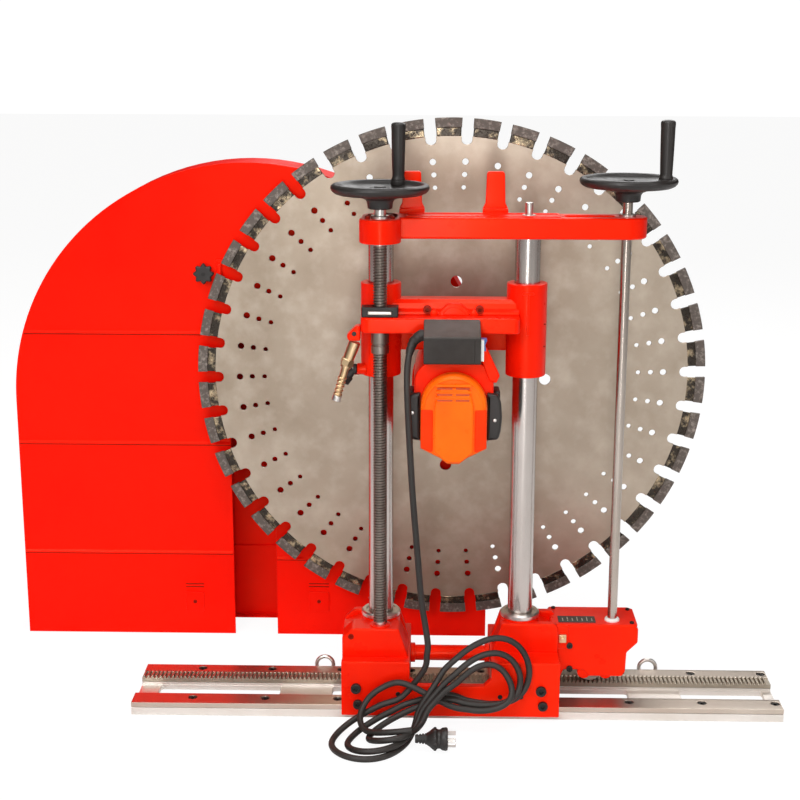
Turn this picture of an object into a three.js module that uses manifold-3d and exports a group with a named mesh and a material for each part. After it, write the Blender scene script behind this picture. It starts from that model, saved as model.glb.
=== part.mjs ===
// A rail-guided electric wall saw: the rail on the floor, the carriage that is cranked along it, the two
// columns with the saw head between them, the slotted diamond blade, and the blade guard behind it.
// Millimetres. X runs along the rail, Y to the back and Z up. The origin is on the floor, in the middle
// of the rail's underside.
import * as THREE from 'three';
import { mergeVertices } from 'three/addons/utils/BufferGeometryUtils.js';
import Module from 'manifold-3d';

const wasm = await Module();
wasm.setup();

// ---- fits --------------------------------------------------------------------------------------------
const gap = 0.3; // between faces that touch
const runningFit = 0.3; // radial, between a shaft and its bore
const rollerLift = 0.3; // between a roller and its track

// ---- rail --------------------------------------------------------------------------------------------
const railLength = 954;
const railWidth = 138;
const ledgeHeight = 12;
const webThickness = 8;
const frontBarWidth = 34;
const rearBarWidth = 27;
const barThickness = 7.7;
const rackWidth = 21.4;
const rackHeight = 9.6;
const windowLength = 183;
const windowWidth = 30;
const windowPitch = 262;
const firstWindow = 121; // from the rail's left end to the first window's middle
const windowEndWall = 14;
const ringRadius = 13;
const ringWire = 3;
const ringOffset = 14; // behind the rail
const ringPlaces = [-202, 299];

// ---- guard -------------------------------------------------------------------------------------------
const guardRadius = 380;
const guardSpringHeight = 399; // where the arch starts
const guardCentre = -327;
const guardDepth = 83;
const guardSheet = 3;
const guardSlotWidth = 70;
const guardSlotHeight = 507; // the crown starts here
const knobRadius = 16.5;
const knobThickness = 11;
const knobPlace = [-398, 606];

// ---- carriage ----------------------------------------------------------------------------------------
const carriagePlace = -9; // its middle, along the rail
const plateOverhang = 55; // past each column's axis
const plateThickness = 12;
const plateStandOff = 2; // from the rail's front face
const plateBottom = 10;
const plateTop = 93.5;
const mouthWidth = 118;
const mouthBottom = 57;
const mouthChamfer = 11;
const deckTop = 90;
const deckBottom = 42;
const skirtThickness = 6;
const skirtBottom = 18;
const columnSpacing = 206;
const columnRadius = 18;
const columnFoot = 60;
const socketTop = 136;
const socketWall = 10.7;
const collarHeight = 7.7;
const wingWidth = 26;
const wingDepth = 80;
const wingTop = 134;
const crossTubeRadius = 11.5;
const crossTubeHeight = 74;
const rollerRadius = 8;
const rollerLength = 22;
const rollerInset = 24; // from the plate's side edges
const axleRadius = 4;
const axleHead = [7, 5];

// ---- crosshead ---------------------------------------------------------------------------------------
const barBottom = 699;
const barTop = 729;
const barFront = 30;
const barBack = 24;
const bearingBossRadius = 29;
const bearingBossDrop = 4;
const lugWidth = 28;
const lugThickness = 12;
const lugHeight = 58;
const lugPlaces = [-60, 57.5];

// ---- lift: screw and handwheels ----------------------------------------------------------------------
const screwOffset = 40; // in front of the columns
const screwRadius = 9.8;
const journalRadius = 8;
const wheelRadius = 68;
const liftWheelHeight = 769;
const feedWheelHeight = 776;
const gripCircle = 54.6;
const gripLength = 79;
const gripRadius = [9, 11]; // at the rim and at the tip
const liftGripAngle = 64;
const feedGripAngle = -31;

// ---- feed drive --------------------------------------------------------------------------------------
const feedShaftOffset = 82; // from the plate's right edge
const feedShaftRadius = 7;
const wormRadius = 8.2;
const wormWheelRadius = 19.5;
const driveGearRadius = 26.7;
const rackPinionRadius = 17.7;
const wormHeight = 85;
const stubRadius = 5;
const boxTop = 128;
const boxOverhang = 37; // past the feed shaft's axis
const boxFront = 20;
const boxBack = 53;
const boxWall = 9;
const boxBottom = 47;
const coverThickness = 4;

// ---- head --------------------------------------------------------------------------------------------
const spindleHeight = 450;
const sleeveRadius = 28.5;
const sleeveBottom = 52; // heights on the head are above the spindle
const sleeveTop = 185;
const bridgeBottom = 121;
const bridgeTop = 163;
const bridgeFront = 30;
const bridgeBack = 12;
const flangeOverhang = 27; // past the left column
const flangeInset = 12; // short of the right column
const flangeReach = 57;
const flangeTop = 143;
const nutRadius = 12.5;
const nutDrop = 31;
const nutPlateSize = [51, 25.5, 14];
const motorAxis = 30;
const motorWidth = 110;
const motorTop = 88;
const motorBottom = -30;
const motorFront = 85;
const motorBack = 29.7;
const motorBore = 42;
const armatureRadius = 36;
const rotorShaftRadius = 7;
const rotorPinionRadius = 7.85;
const spindleGearRadius = 21.85;
const capDepth = 35;
const capRadius = 45.5;
const switchBoxWidth = 78;
const switchBoxMiddle = -3;
const switchBoxDepth = 48;
const glandRadius = 6.5;
const gearCaseRadius = 56;
const gearCaseLength = 120;
const mountInset = [7, 14]; // the mounting bar, short of the left and the right column
const neckRadius = 34;
const neckEnd = 207;

// ---- blade -------------------------------------------------------------------------------------------
const bladeRadius = 400;
const bladePlane = 222; // its front face
const bladeThickness = 4.4;
const gullets = 42;
const gulletWidth = 17;
const gulletDepth = 44;
const bladeTurn = 1.05; // degrees
const driveHoleCircle = 148.5;
const driveHoleRadius = 9;
const driveHoleTurn = -2.7;
const spindleRadius = 12;
const flangeRadius = 55;
const outerFlangeThickness = 7.8;

// ---- cord --------------------------------------------------------------------------------------------
const cordDiameter = 9;
const plugRadius = 17;

const columnPlaces = [-columnSpacing / 2, columnSpacing / 2];
const plateWidth = columnSpacing + 2 * plateOverhang;
const feedShaftPlace = plateWidth / 2 + feedShaftOffset; // from the carriage's middle
const boxRight = feedShaftPlace + boxOverhang;
const railFront = -railWidth / 2;
const railBack = railWidth / 2;
const barTrack = ledgeHeight + gap + barThickness; // top of both guide bars
const rollerHeight = barTrack + rollerLift + rollerRadius;
const rackFront = railBack - rearBarWidth - gap - rackWidth;
const plateBack = railFront - plateStandOff;
const plateFront = plateBack - plateThickness;
const guardFront = bladePlane + bladeThickness + 15.6;
const screwPlace = [columnPlaces[0], -screwOffset];
const flangeLeft = columnPlaces[0] - flangeOverhang;
const flangeRight = columnPlaces[1] - flangeInset;

// ---- solids ------------------------------------------------------------------------------------------
function solidOf(geometry) {
  const bare = geometry.clone();
  bare.deleteAttribute('normal');
  bare.deleteAttribute('uv');
  const merged = mergeVertices(bare, 1e-3);
  return new wasm.Manifold(new wasm.Mesh({
    numProp: 3,
    vertProperties: merged.attributes.position.array,
    triVerts: new Uint32Array(merged.index.array),
  }));
}

function geometryOf(solid) {
  const mesh = solid.getMesh();
  const geometry = new THREE.BufferGeometry();
  geometry.setAttribute('position', new THREE.BufferAttribute(mesh.vertProperties, 3));
  geometry.setIndex(new THREE.BufferAttribute(mesh.triVerts, 1));
  return geometry;
}

function join(...pieces) {
  return geometryOf(pieces.map(solidOf).reduce((sum, piece) => sum.add(piece)));
}

function cut(body, ...tools) {
  return geometryOf(tools.map(solidOf).reduce((rest, tool) => rest.subtract(tool), solidOf(body)));
}

function block([x0, x1], [y0, y1], [z0, z1]) {
  const box = new THREE.BoxGeometry(x1 - x0, y1 - y0, z1 - z0);
  return box.translate((x0 + x1) / 2, (y0 + y1) / 2, (z0 + z1) / 2);
}

// A round bar along x, y or z, from start to end, at its two other coordinates.
function rod(axis, radius, [start, end], [a, b], sides = 24, endRadius = radius) {
  const bar = new THREE.CylinderGeometry(endRadius, radius, end - start, sides);
  const middle = (start + end) / 2;
  if (axis === 'x') return bar.rotateZ(-Math.PI / 2).translate(middle, a, b);
  if (axis === 'y') return bar.translate(a, middle, b);
  return bar.rotateX(Math.PI / 2).translate(a, b, middle);
}

// A round bar between two points.
function strut(from, to, radius, endRadius = radius, sides = 12) {
  const start = new THREE.Vector3(...from);
  const along = new THREE.Vector3(...to).sub(start);
  const bar = new THREE.CylinderGeometry(endRadius, radius, along.length(), sides);
  bar.translate(0, along.length() / 2, 0);
  bar.applyQuaternion(new THREE.Quaternion().setFromUnitVectors(
    new THREE.Vector3(0, 1, 0), along.clone().normalize()));
  return bar.translate(...from);
}

function outline(points) {
  return new THREE.Shape(points.map(([x, y]) => new THREE.Vector2(x, y)));
}

function extruded(shape, depth, curveSegments = 12) {
  return new THREE.ExtrudeGeometry(shape, { depth, bevelEnabled: false, curveSegments });
}

// A front view drawn in x and z, thickened from one y to another.
function frontView(shape, [y0, y1], curveSegments) {
  return extruded(shape, y1 - y0, curveSegments).rotateX(Math.PI / 2).translate(0, y1, 0);
}

// A side view drawn in y and z, thickened from one x to another.
function sideView(shape, [x0, x1]) {
  const turn = new THREE.Matrix4().makeBasis(
    new THREE.Vector3(0, 1, 0), new THREE.Vector3(0, 0, 1), new THREE.Vector3(1, 0, 0));
  return extruded(shape, x1 - x0).applyMatrix4(turn).translate(x0, 0, 0);
}

// A closed profile of radius and height, turned round the z axis.
function turned(profile, sides = 24) {
  const points = [...profile, profile[0]].map(([r, h]) => new THREE.Vector2(r, h));
  return new THREE.LatheGeometry(points, sides).rotateX(Math.PI / 2);
}

function tube(points, diameter, steps, sides = 8) {
  const curve = new THREE.CatmullRomCurve3(points.map((p) => new THREE.Vector3(...p)));
  const section = new THREE.Shape().absarc(0, 0, diameter / 2, 0, Math.PI * 2);
  return new THREE.ExtrudeGeometry(section, {
    steps, bevelEnabled: false, extrudePath: curve, curveSegments: sides,
  });
}

// ---- finishes and scene ------------------------------------------------------------------------------
const finishes = {
  redPaint: [0xd8140e, 0.3, 0.0],
  deepRed: [0x8e0d12, 0.45, 0.0],
  orangePlastic: [0xe8561a, 0.4, 0.0],
  blackPlastic: [0x1c1a1a, 0.5, 0.0],
  chrome: [0xd8d4cf, 0.18, 1.0],
  steel: [0x9a948c, 0.35, 1.0],
  screwSteel: [0x6b635b, 0.4, 1.0],
  bladeSteel: [0xb5a898, 0.35, 0.9],
  aluminium: [0xcfc8bd, 0.4, 0.8],
  brass: [0xc59a5c, 0.35, 1.0],
  rubber: [0x2c2a28, 0.75, 0.0],
};

function add(group, name, geometry, finish) {
  const [color, roughness, metalness] = finishes[finish];
  const material = new THREE.MeshStandardMaterial({ color, roughness, metalness });
  const mesh = new THREE.Mesh(geometry, material);
  mesh.name = name;
  group.add(mesh);
  return mesh;
}

function group(parent, x = 0, y = 0, z = 0) {
  const made = new THREE.Group();
  made.position.set(x, y, z);
  parent.add(made);
  return made;
}

const saw = new THREE.Group();
const carriage = group(saw, carriagePlace);
const head = group(carriage, 0, 0, spindleHeight);

// ---- rail --------------------------------------------------------------------------------------------
function railChannel() {
  const section = outline([
    [railFront, 0], [railBack, 0], [railBack, ledgeHeight], [rackFront, ledgeHeight],
    [rackFront, webThickness], [railFront + frontBarWidth, webThickness],
    [railFront + frontBarWidth, ledgeHeight], [railFront, ledgeHeight],
  ]);
  const half = railLength / 2;
  const windows = [];
  const back = rackFront - 1;
  for (let at = firstWindow - half; at - windowLength / 2 < half - windowEndWall; at += windowPitch) {
    const end = Math.min(at + windowLength / 2, half - windowEndWall);
    windows.push(block([at - windowLength / 2, end], [back - windowWidth, back],
      [-1, webThickness + 1]));
  }
  return cut(sideView(section, [-half, half]), ...windows);
}

function railRing(x) {
  const y = railBack + ringOffset;
  const height = ringRadius + ringWire + 1;
  const ring = new THREE.TorusGeometry(ringRadius, ringWire, 8, 18).rotateX(Math.PI / 2);
  const stem = block([-ringWire, ringWire], [railBack + gap, y + ringWire],
    [1, height - ringRadius + ringWire / 2]);
  return join(ring.translate(x, y, height), stem.translate(x, 0, 0));
}

const railEnds = [-railLength / 2, railLength / 2];
const barHeights = [ledgeHeight + gap, barTrack];
add(saw, 'rail_channel', railChannel(), 'aluminium');
add(saw, 'guide_bar_front', block(railEnds, [railFront, railFront + frontBarWidth], barHeights), 'steel');
add(saw, 'guide_bar_rear', block(railEnds, [railBack - rearBarWidth, railBack], barHeights), 'steel');
add(saw, 'rack', block(railEnds, [rackFront, rackFront + rackWidth],
  [ledgeHeight + gap, ledgeHeight + gap + rackHeight]), 'steel');
add(saw, 'rail_ring_left', railRing(ringPlaces[0]), 'chrome');
add(saw, 'rail_ring_right', railRing(ringPlaces[1]), 'chrome');

// ---- guard -------------------------------------------------------------------------------------------
const guardBack = guardFront + guardDepth;

function arch(radius, foot, left, right) {
  const shape = new THREE.Shape();
  shape.moveTo(left, foot);
  shape.lineTo(right, foot);
  const startAngle = Math.acos(Math.min(1, (right - guardCentre) / radius));
  const endAngle = Math.acos(Math.max(-1, (left - guardCentre) / radius));
  shape.absarc(guardCentre, guardSpringHeight, radius, startAngle, endAngle, false);
  return shape;
}

function guardShell() {
  const outer = arch(guardRadius, 0, guardCentre - guardRadius, guardCentre + guardRadius);
  const inner = arch(guardRadius - guardSheet, -1,
    guardCentre - guardRadius + guardSheet, guardCentre + guardRadius - guardSheet);
  const front = guardFront + guardSheet + gap;
  return cut(frontView(outer, [front, guardBack], 20),
    frontView(inner, [front - 1, guardBack - guardSheet], 20));
}

const frontSheet = [guardFront, guardFront + guardSheet];

// A plain sheet at each side of the slot, up to the crown.
function guardSide(side) {
  const slotEdge = guardCentre + side * guardSlotWidth / 2;
  const edge = guardCentre + side * guardRadius;
  const across = [Math.min(slotEdge, edge), Math.max(slotEdge, edge)];
  return cut(frontView(arch(guardRadius, 0, ...across), frontSheet, 14),
    block([across[0] - 1, across[1] + 1], [frontSheet[0] - 1, frontSheet[1] + 1],
      [guardSlotHeight, guardSpringHeight + guardRadius + 1]));
}

// The crown closes the front over the slot.
function guardCrown() {
  const across = [guardCentre - guardRadius, guardCentre + guardRadius];
  return cut(frontView(arch(guardRadius, 0, ...across), frontSheet, 20),
    block([across[0] - 1, across[1] + 1], [frontSheet[0] - 1, frontSheet[1] + 1],
      [-1, guardSlotHeight + gap]));
}

add(saw, 'guard_shell', guardShell(), 'deepRed');
add(saw, 'guard_front_left', guardSide(-1), 'redPaint');
add(saw, 'guard_front_right', guardSide(1), 'redPaint');
add(saw, 'guard_front_crown', guardCrown(), 'redPaint');
const knobBack = guardFront - gap;
add(saw, 'guard_latch', block([knobPlace[0] + knobRadius + 3, knobPlace[0] + knobRadius + 12],
  [knobBack - 8, knobBack], [knobPlace[1] - 10, knobPlace[1] + 22]), 'redPaint');
add(saw, 'guard_knob', rod('y', knobRadius, [knobBack - knobThickness, knobBack], knobPlace, 12),
  'blackPlastic');

// ---- carriage ----------------------------------------------------------------------------------------
const rollerPlaces = [-plateWidth / 2 + rollerInset, plateWidth / 2 - rollerInset];
const axleHoles = (from, to) => rollerPlaces.map((x) =>
  rod('y', axleRadius + runningFit, [from, to], [x, rollerHeight], 12));

function frontPlate() {
  const half = plateWidth / 2;
  const mouth = mouthWidth / 2;
  const shape = outline([
    [-half, plateBottom], [half, plateBottom], [half, plateTop], [mouth, plateTop],
    [mouth, mouthBottom + mouthChamfer], [mouth - mouthChamfer, mouthBottom],
    [mouthChamfer - mouth, mouthBottom], [-mouth, mouthBottom + mouthChamfer],
    [-mouth, plateTop], [-half, plateTop],
  ]);
  return cut(frontView(shape, [plateFront, plateBack]), ...axleHoles(plateFront - 1, plateBack + 1));
}

function tower(side) {
  const x = side * columnSpacing / 2;
  const inner = side * mouthWidth / 2;
  const outer = side * plateWidth / 2;
  const across = [Math.min(inner, outer), Math.max(inner, outer)];
  const front = plateBack + gap;
  const socket = columnRadius + socketWall;
  const pieces = [
    block(across, [front, railBack + 1.5], [deckBottom, deckTop]),
    block(across, [railBack + 1, railBack + 1 + skirtThickness], [skirtBottom, deckTop]),
    rod('z', socket, [deckTop - 1, socketTop], [x, 0]),
    frontView(outline(side < 0
      ? [[x + socket - 2, deckTop - 1], [inner - 5, deckTop - 1], [x + socket - 2, socketTop - 4]]
      : [[inner + 5, deckTop - 1], [x - socket + 2, deckTop - 1], [x - socket + 2, socketTop - 4]]),
    [-10, -2]),
  ];
  const bores = [rod('z', columnRadius + gap, [columnFoot, socketTop + 1], [x, 0])];
  if (side < 0) {
    pieces.push(block([outer, outer + wingWidth], [-wingDepth / 2, wingDepth / 2], [deckTop - 1, wingTop]));
    pieces.push(rod('z', journalRadius + 9, [deckTop - 1, socketTop], screwPlace, 16));
    pieces.push(block([x - 13, x + 13], [-screwOffset, -10], [deckTop - 1, socketTop]));
    bores.push(rod('z', journalRadius + runningFit, [columnFoot + 40, socketTop + 1], screwPlace, 16));
  }
  const skirtBack = railBack + 1 + skirtThickness;
  return cut(join(...pieces), ...bores, ...axleHoles(railBack - 1, skirtBack + 1));
}

function roller(x, front) {
  const wheel = front
    ? [railFront + 5, railFront + 5 + rollerLength]
    : [railBack - 4 - rollerLength, railBack - 4];
  const axle = front
    ? [plateFront - gap - 1, wheel[0] + 1]
    : [wheel[1] - 1, railBack + 1 + skirtThickness];
  const pieces = [
    rod('y', rollerRadius, wheel, [x, rollerHeight], 16),
    rod('y', axleRadius, axle, [x, rollerHeight], 12),
  ];
  if (front) {
    pieces.push(rod('y', axleHead[0], [plateFront - gap - axleHead[1], plateFront - gap],
      [x, rollerHeight], 12));
  }
  return join(...pieces);
}

add(carriage, 'front_plate', frontPlate(), 'redPaint');
add(carriage, 'tower_left', tower(-1), 'redPaint');
add(carriage, 'tower_right', tower(1), 'redPaint');
const tubeHalf = mouthWidth / 2 - gap;
add(carriage, 'cross_tube', rod('x', crossTubeRadius, [-tubeHalf, tubeHalf], [0, crossTubeHeight], 16),
  'redPaint');
['left', 'right'].forEach((name, i) => {
  add(carriage, `roller_front_${name}`, roller(rollerPlaces[i], true), 'steel');
  add(carriage, `roller_rear_${name}`, roller(rollerPlaces[i], false), 'steel');
  const at = [columnPlaces[i], 0];
  add(carriage, `column_${name}`, rod('z', columnRadius, [columnFoot + gap, barTop - 9 - gap], at),
    'chrome');
  const collar = [socketTop + gap, socketTop + gap + collarHeight];
  add(carriage, `column_collar_${name}`, cut(rod('z', columnRadius + socketWall, collar, at),
    rod('z', columnRadius + gap, [socketTop, socketTop + 2 * collarHeight], at),
    ...(i ? [] : [rod('z', screwRadius + 1.2, [socketTop, socketTop + 2 * collarHeight], screwPlace)])),
  'chrome');
});

function crosshead() {
  const [left, right] = columnPlaces;
  const endRadius = (barFront + barBack) / 2;
  const plan = new THREE.Shape();
  plan.moveTo(left, -barFront);
  plan.lineTo(feedShaftPlace, -barFront);
  plan.absarc(feedShaftPlace, (barBack - barFront) / 2, endRadius, -Math.PI / 2, Math.PI / 2, false);
  plan.lineTo(left, barBack);
  const heights = [barBottom, barTop];
  const pieces = [
    extruded(plan, barTop - barBottom, 8).translate(0, 0, barBottom),
    rod('z', bearingBossRadius, [barBottom - bearingBossDrop, barTop], [left, 4 - screwOffset]),
    rod('z', columnRadius + socketWall - 2, heights, [left, 0]),
    block([left - 26, left], [-screwOffset + 4, 0], heights),
    ...lugPlaces.map((x) => block([x - lugWidth / 2, x + lugWidth / 2],
      [barBack, barBack + lugThickness], [barTop - 1, barTop + lugHeight])),
    ...lugPlaces.map((x) => block([x - lugWidth / 2 - 4, x + lugWidth / 2 + 4],
      [barBack - 6, barBack + lugThickness], [barBottom + 6, barTop + 10])),
  ];
  const columnBore = [barBottom - bearingBossDrop - 1, barTop - 9];
  const through = [barBottom - bearingBossDrop - 1, barTop + 1];
  return cut(join(...pieces),
    ...columnPlaces.map((x) => rod('z', columnRadius + gap, columnBore, [x, 0])),
    rod('z', journalRadius + runningFit, through, screwPlace, 16),
    rod('z', feedShaftRadius + runningFit, through, [feedShaftPlace, 0], 16),
    block([right + 50, feedShaftPlace - 15], [-15, 9], [barTop - 5, barTop + 1]));
}

add(carriage, 'crosshead', crosshead(), 'redPaint');

// ---- screw, shafts and handwheels --------------------------------------------------------------------
function leadScrew() {
  const thread = [socketTop + 1, barBottom - bearingBossDrop - 1];
  return join(
    rod('z', screwRadius, thread, screwPlace, 16),
    rod('z', journalRadius, [columnFoot + 40 + gap, thread[0] + 1], screwPlace, 16),
    rod('z', journalRadius, [thread[1] - 1, liftWheelHeight], screwPlace, 16));
}

function handwheel(bore) {
  return turned([
    [bore, -27], [17, -27], [19, -15], [27, -11], [52, -7], [60, -7], [66.5, -3], [wheelRadius, 2],
    [65, 6.5], [60, 7], [54, 2], [27, -4], [15, -5], [14, 2], [bore, 2],
  ]);
}

// The grip stands on the rim and turns on its own pin.
function grip(base) {
  return rod('z', gripRadius[0], [base, base + gripLength], [0, 0], 14, gripRadius[1]);
}

function crank(name, [x, y], height, bore, angle) {
  const wheel = add(carriage, `${name}_handwheel`, handwheel(bore), 'blackPlastic');
  wheel.position.set(x, y, height);
  const turn = THREE.MathUtils.degToRad(angle);
  const handle = add(carriage, `${name}_grip`, grip(height + 7 + gap), 'blackPlastic');
  handle.position.set(x + gripCircle * Math.cos(turn), y + gripCircle * Math.sin(turn), 0);
}

const wormZone = [wormHeight - 16, wormHeight + 16];
add(carriage, 'lead_screw', leadScrew(), 'screwSteel');
add(carriage, 'feed_shaft', join(
  rod('z', feedShaftRadius, [wormZone[0] - 6, feedWheelHeight], [feedShaftPlace, 0], 16),
  rod('z', wormRadius, wormZone, [feedShaftPlace, 0], 16)), 'steel');
crank('lift', screwPlace, liftWheelHeight, journalRadius + gap, liftGripAngle);
crank('feed', [feedShaftPlace, 0], feedWheelHeight, feedShaftRadius + gap, feedGripAngle);

// ---- feed gearbox ------------------------------------------------------------------------------------
const wheelPlace = feedShaftPlace - wormRadius - wormWheelRadius - gap;
const pinionHeight = wormHeight - driveGearRadius - rackPinionRadius - gap;
const gearRear = [rackFront + 1.7, rackFront + rackWidth - 1.7];

function gearboxHousing() {
  const left = plateWidth / 2 + gap;
  const deck = deckTop + 1;
  const shape = outline([
    [left, boxBottom - 3], [left + 5, boxBottom - 3], [left + 10, boxBottom + 10],
    [left + 40, boxBottom + 10], [left + 47, boxBottom], [boxRight - 22, boxBottom],
    [boxRight - 17, boxBottom + 8], [boxRight - 16, deck], [boxRight, deck + 10], [boxRight, boxTop],
    [left - 10, boxTop], [left - 10, deck], [left, deck],
  ]);
  const right = boxRight - 16 - boxWall / 2;
  const cavity = [
    block([left + boxWall, right], [-boxFront + boxWall - 1, boxBack + 1],
      [boxBottom + 14, boxTop - boxWall]),
    block([wheelPlace - driveGearRadius - 1, wheelPlace + driveGearRadius + 1],
      [gearRear[0] - 1, boxBack + 1], [boxBottom - 4, boxTop - boxWall - 1]),
  ];
  return cut(frontView(shape, [-boxFront, boxBack]), ...cavity,
    rod('z', feedShaftRadius + runningFit, [boxBottom + 10, boxTop + 1], [feedShaftPlace, 0], 16));
}

function gearboxCover() {
  const left = plateWidth / 2 + gap;
  const reach = stubRadius + 9;
  const shape = outline([
    [left, boxBottom + 10], [wheelPlace - reach, boxBottom + 10], [wheelPlace - reach, pinionHeight - 10],
    [wheelPlace + reach, pinionHeight - 10], [wheelPlace + reach, boxBottom + 4],
    [boxRight - 17, boxBottom + 8], [boxRight - 16, boxTop - 2], [left, boxTop - 2],
  ]);
  const plate = frontView(shape, [boxBack + gap, boxBack + gap + coverThickness]);
  const through = [boxBack - 1, boxBack + coverThickness + 2];
  return cut(plate, rod('y', stubRadius + runningFit, through, [wheelPlace, pinionHeight], 12),
    rod('y', stubRadius + runningFit, through, [wheelPlace, wormHeight], 12));
}

add(carriage, 'gearbox_housing', gearboxHousing(), 'redPaint');
add(carriage, 'gearbox_cover', gearboxCover(), 'redPaint');
const bearingEnd = boxBack + gap + coverThickness;
add(carriage, 'worm_wheel', join(
  rod('y', wormWheelRadius, [-9.5, 9.5], [wheelPlace, wormHeight]),
  rod('y', stubRadius, [-10.5, bearingEnd], [wheelPlace, wormHeight], 12),
  rod('y', driveGearRadius, gearRear, [wheelPlace, wormHeight])), 'steel');
add(carriage, 'rack_pinion', join(
  rod('y', rackPinionRadius, gearRear, [wheelPlace, pinionHeight]),
  rod('y', stubRadius, [gearRear[0], bearingEnd], [wheelPlace, pinionHeight], 12)), 'steel');

// ---- head --------------------------------------------------------------------------------------------
const screwClearance = (from, to) => rod('z', screwRadius + 1.2, [from, to], screwPlace, 16);

function headCasting() {
  const [left, right] = columnPlaces;
  const pieces = [
    ...columnPlaces.map((x) => rod('z', sleeveRadius, [sleeveBottom, sleeveTop], [x, 0])),
    block([left, right], [-bridgeFront, bridgeBack], [bridgeBottom, bridgeTop]),
    block([flangeLeft, flangeRight], [-flangeReach, -10], [bridgeBottom, flangeTop]),
    block([-23, 23], [-bridgeFront - 6, -bridgeFront + 2], [flangeTop - 2, bridgeTop - 4]),
    rod('x', 8, [left - sleeveRadius - 5, left - sleeveRadius + 6], [-15, 62], 12),
  ];
  return cut(join(...pieces),
    ...columnPlaces.map((x) => rod('z', columnRadius + runningFit,
      [sleeveBottom - 1, sleeveTop + 1], [x, 0])),
    screwClearance(sleeveBottom - 1, sleeveTop + 1),
    rod('z', nutRadius + gap, [bridgeBottom - nutDrop - 1, flangeTop - 10], screwPlace, 16));
}

function nutPlate() {
  const [width, depth, height] = nutPlateSize;
  const back = -Math.max(bridgeFront, sleeveRadius) - gap;
  const plate = block([screwPlace[0] - width / 2, screwPlace[0] + width / 2],
    [back - depth, back], [flangeTop + gap, flangeTop + gap + height]);
  return cut(plate, screwClearance(flangeTop, flangeTop + 2 * height));
}

function leadNut() {
  return cut(rod('z', nutRadius, [bridgeBottom - nutDrop, flangeTop - 10 - gap], screwPlace, 16),
    rod('z', screwRadius + gap, [bridgeBottom - nutDrop - 1, flangeTop], screwPlace, 16));
}

// The motor housing's front view: round over the top, narrower towards the bottom.
function motorHousing() {
  const half = motorWidth / 2;
  const shape = new THREE.Shape();
  shape.moveTo(-half + 14, motorBottom);
  shape.lineTo(half - 14, motorBottom);
  shape.lineTo(half, motorBottom + 14);
  shape.lineTo(half, motorTop - 30);
  shape.absarc(half - 30, motorTop - 30, 30, 0, Math.PI / 2, false);
  shape.absarc(30 - half, motorTop - 30, 30, Math.PI / 2, Math.PI, false);
  shape.lineTo(-half, motorBottom + 14);
  return cut(frontView(shape, [-motorFront, motorBack], 5),
    rod('y', motorBore, [-motorFront - 1, motorBack + 1], [0, motorAxis]));
}

function endCap() {
  const shape = new THREE.Shape();
  shape.moveTo(-8, -50);
  shape.lineTo(8, -50);
  shape.lineTo(17, -39);
  shape.lineTo(capRadius, -28);
  shape.lineTo(capRadius, motorAxis);
  shape.absarc(0, motorAxis, capRadius, 0, Math.PI, false);
  shape.lineTo(-capRadius, -28);
  shape.lineTo(-17, -39);
  const back = -motorFront - gap;
  return cut(frontView(shape, [back - capDepth, back], 10),
    rod('y', armatureRadius, [back - capDepth + 12, back + 1], [0, motorAxis], 20));
}

function sideCover(side) {
  const edge = side * motorWidth / 2;
  const near = edge + side * gap;
  const far = near + side * 9;
  const shape = outline([[-80, -22], [-46, -22], [-40, -10], [-40, 34], [-46, 46], [-80, 46]]);
  return sideView(shape, [Math.min(near, far), Math.max(near, far)]);
}

const switchRight = switchBoxMiddle + switchBoxWidth / 2;
const switchLeft = switchBoxMiddle - switchBoxWidth / 2;
const switchFront = -flangeReach - gap - switchBoxDepth;
const rockerMiddle = [switchFront + 24, 112];

function switchBox() {
  const back = -flangeReach - gap;
  const profile = outline([
    [switchFront, motorTop + gap], [back, motorTop + gap], [back, flangeTop - 1], [switchFront, 127]]);
  const [y, z] = rockerMiddle;
  return cut(sideView(profile, [switchLeft, switchRight]),
    block([switchRight - 8, switchRight + 1], [y - 8, y + 8], [z - 10.5, z + 10.5]));
}

const glandFoot = [switchLeft - 5, switchFront + 25, 124];
const glandTip = [glandFoot[0] - 5, glandFoot[1], glandFoot[2] - 5];

function gearHousing() {
  const start = motorBack + gap;
  const bodyEnd = start + gearCaseLength;
  const barrel = new THREE.Shape();
  barrel.absarc(0, 0, gearCaseRadius, Math.PI, 2 * Math.PI, false);
  barrel.absarc(0, motorAxis, gearCaseRadius, 0, Math.PI, false);
  return cut(join(
    frontView(barrel, [start, bodyEnd], 10),
    block([columnPlaces[0] + mountInset[0], columnPlaces[1] - mountInset[1]],
      [Math.max(start, sleeveRadius + gap), start + 18], [80, 125]),
    rod('y', neckRadius, [bodyEnd - 1, neckEnd], [0, 0])),
  rod('y', motorBore, [start - 1, start + 70], [0, motorAxis]),
  rod('y', spindleGearRadius + 12, [start - 1, start + 70], [0, 0]),
  rod('y', spindleRadius + runningFit, [start, neckEnd + 1], [0, 0]));
}

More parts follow.
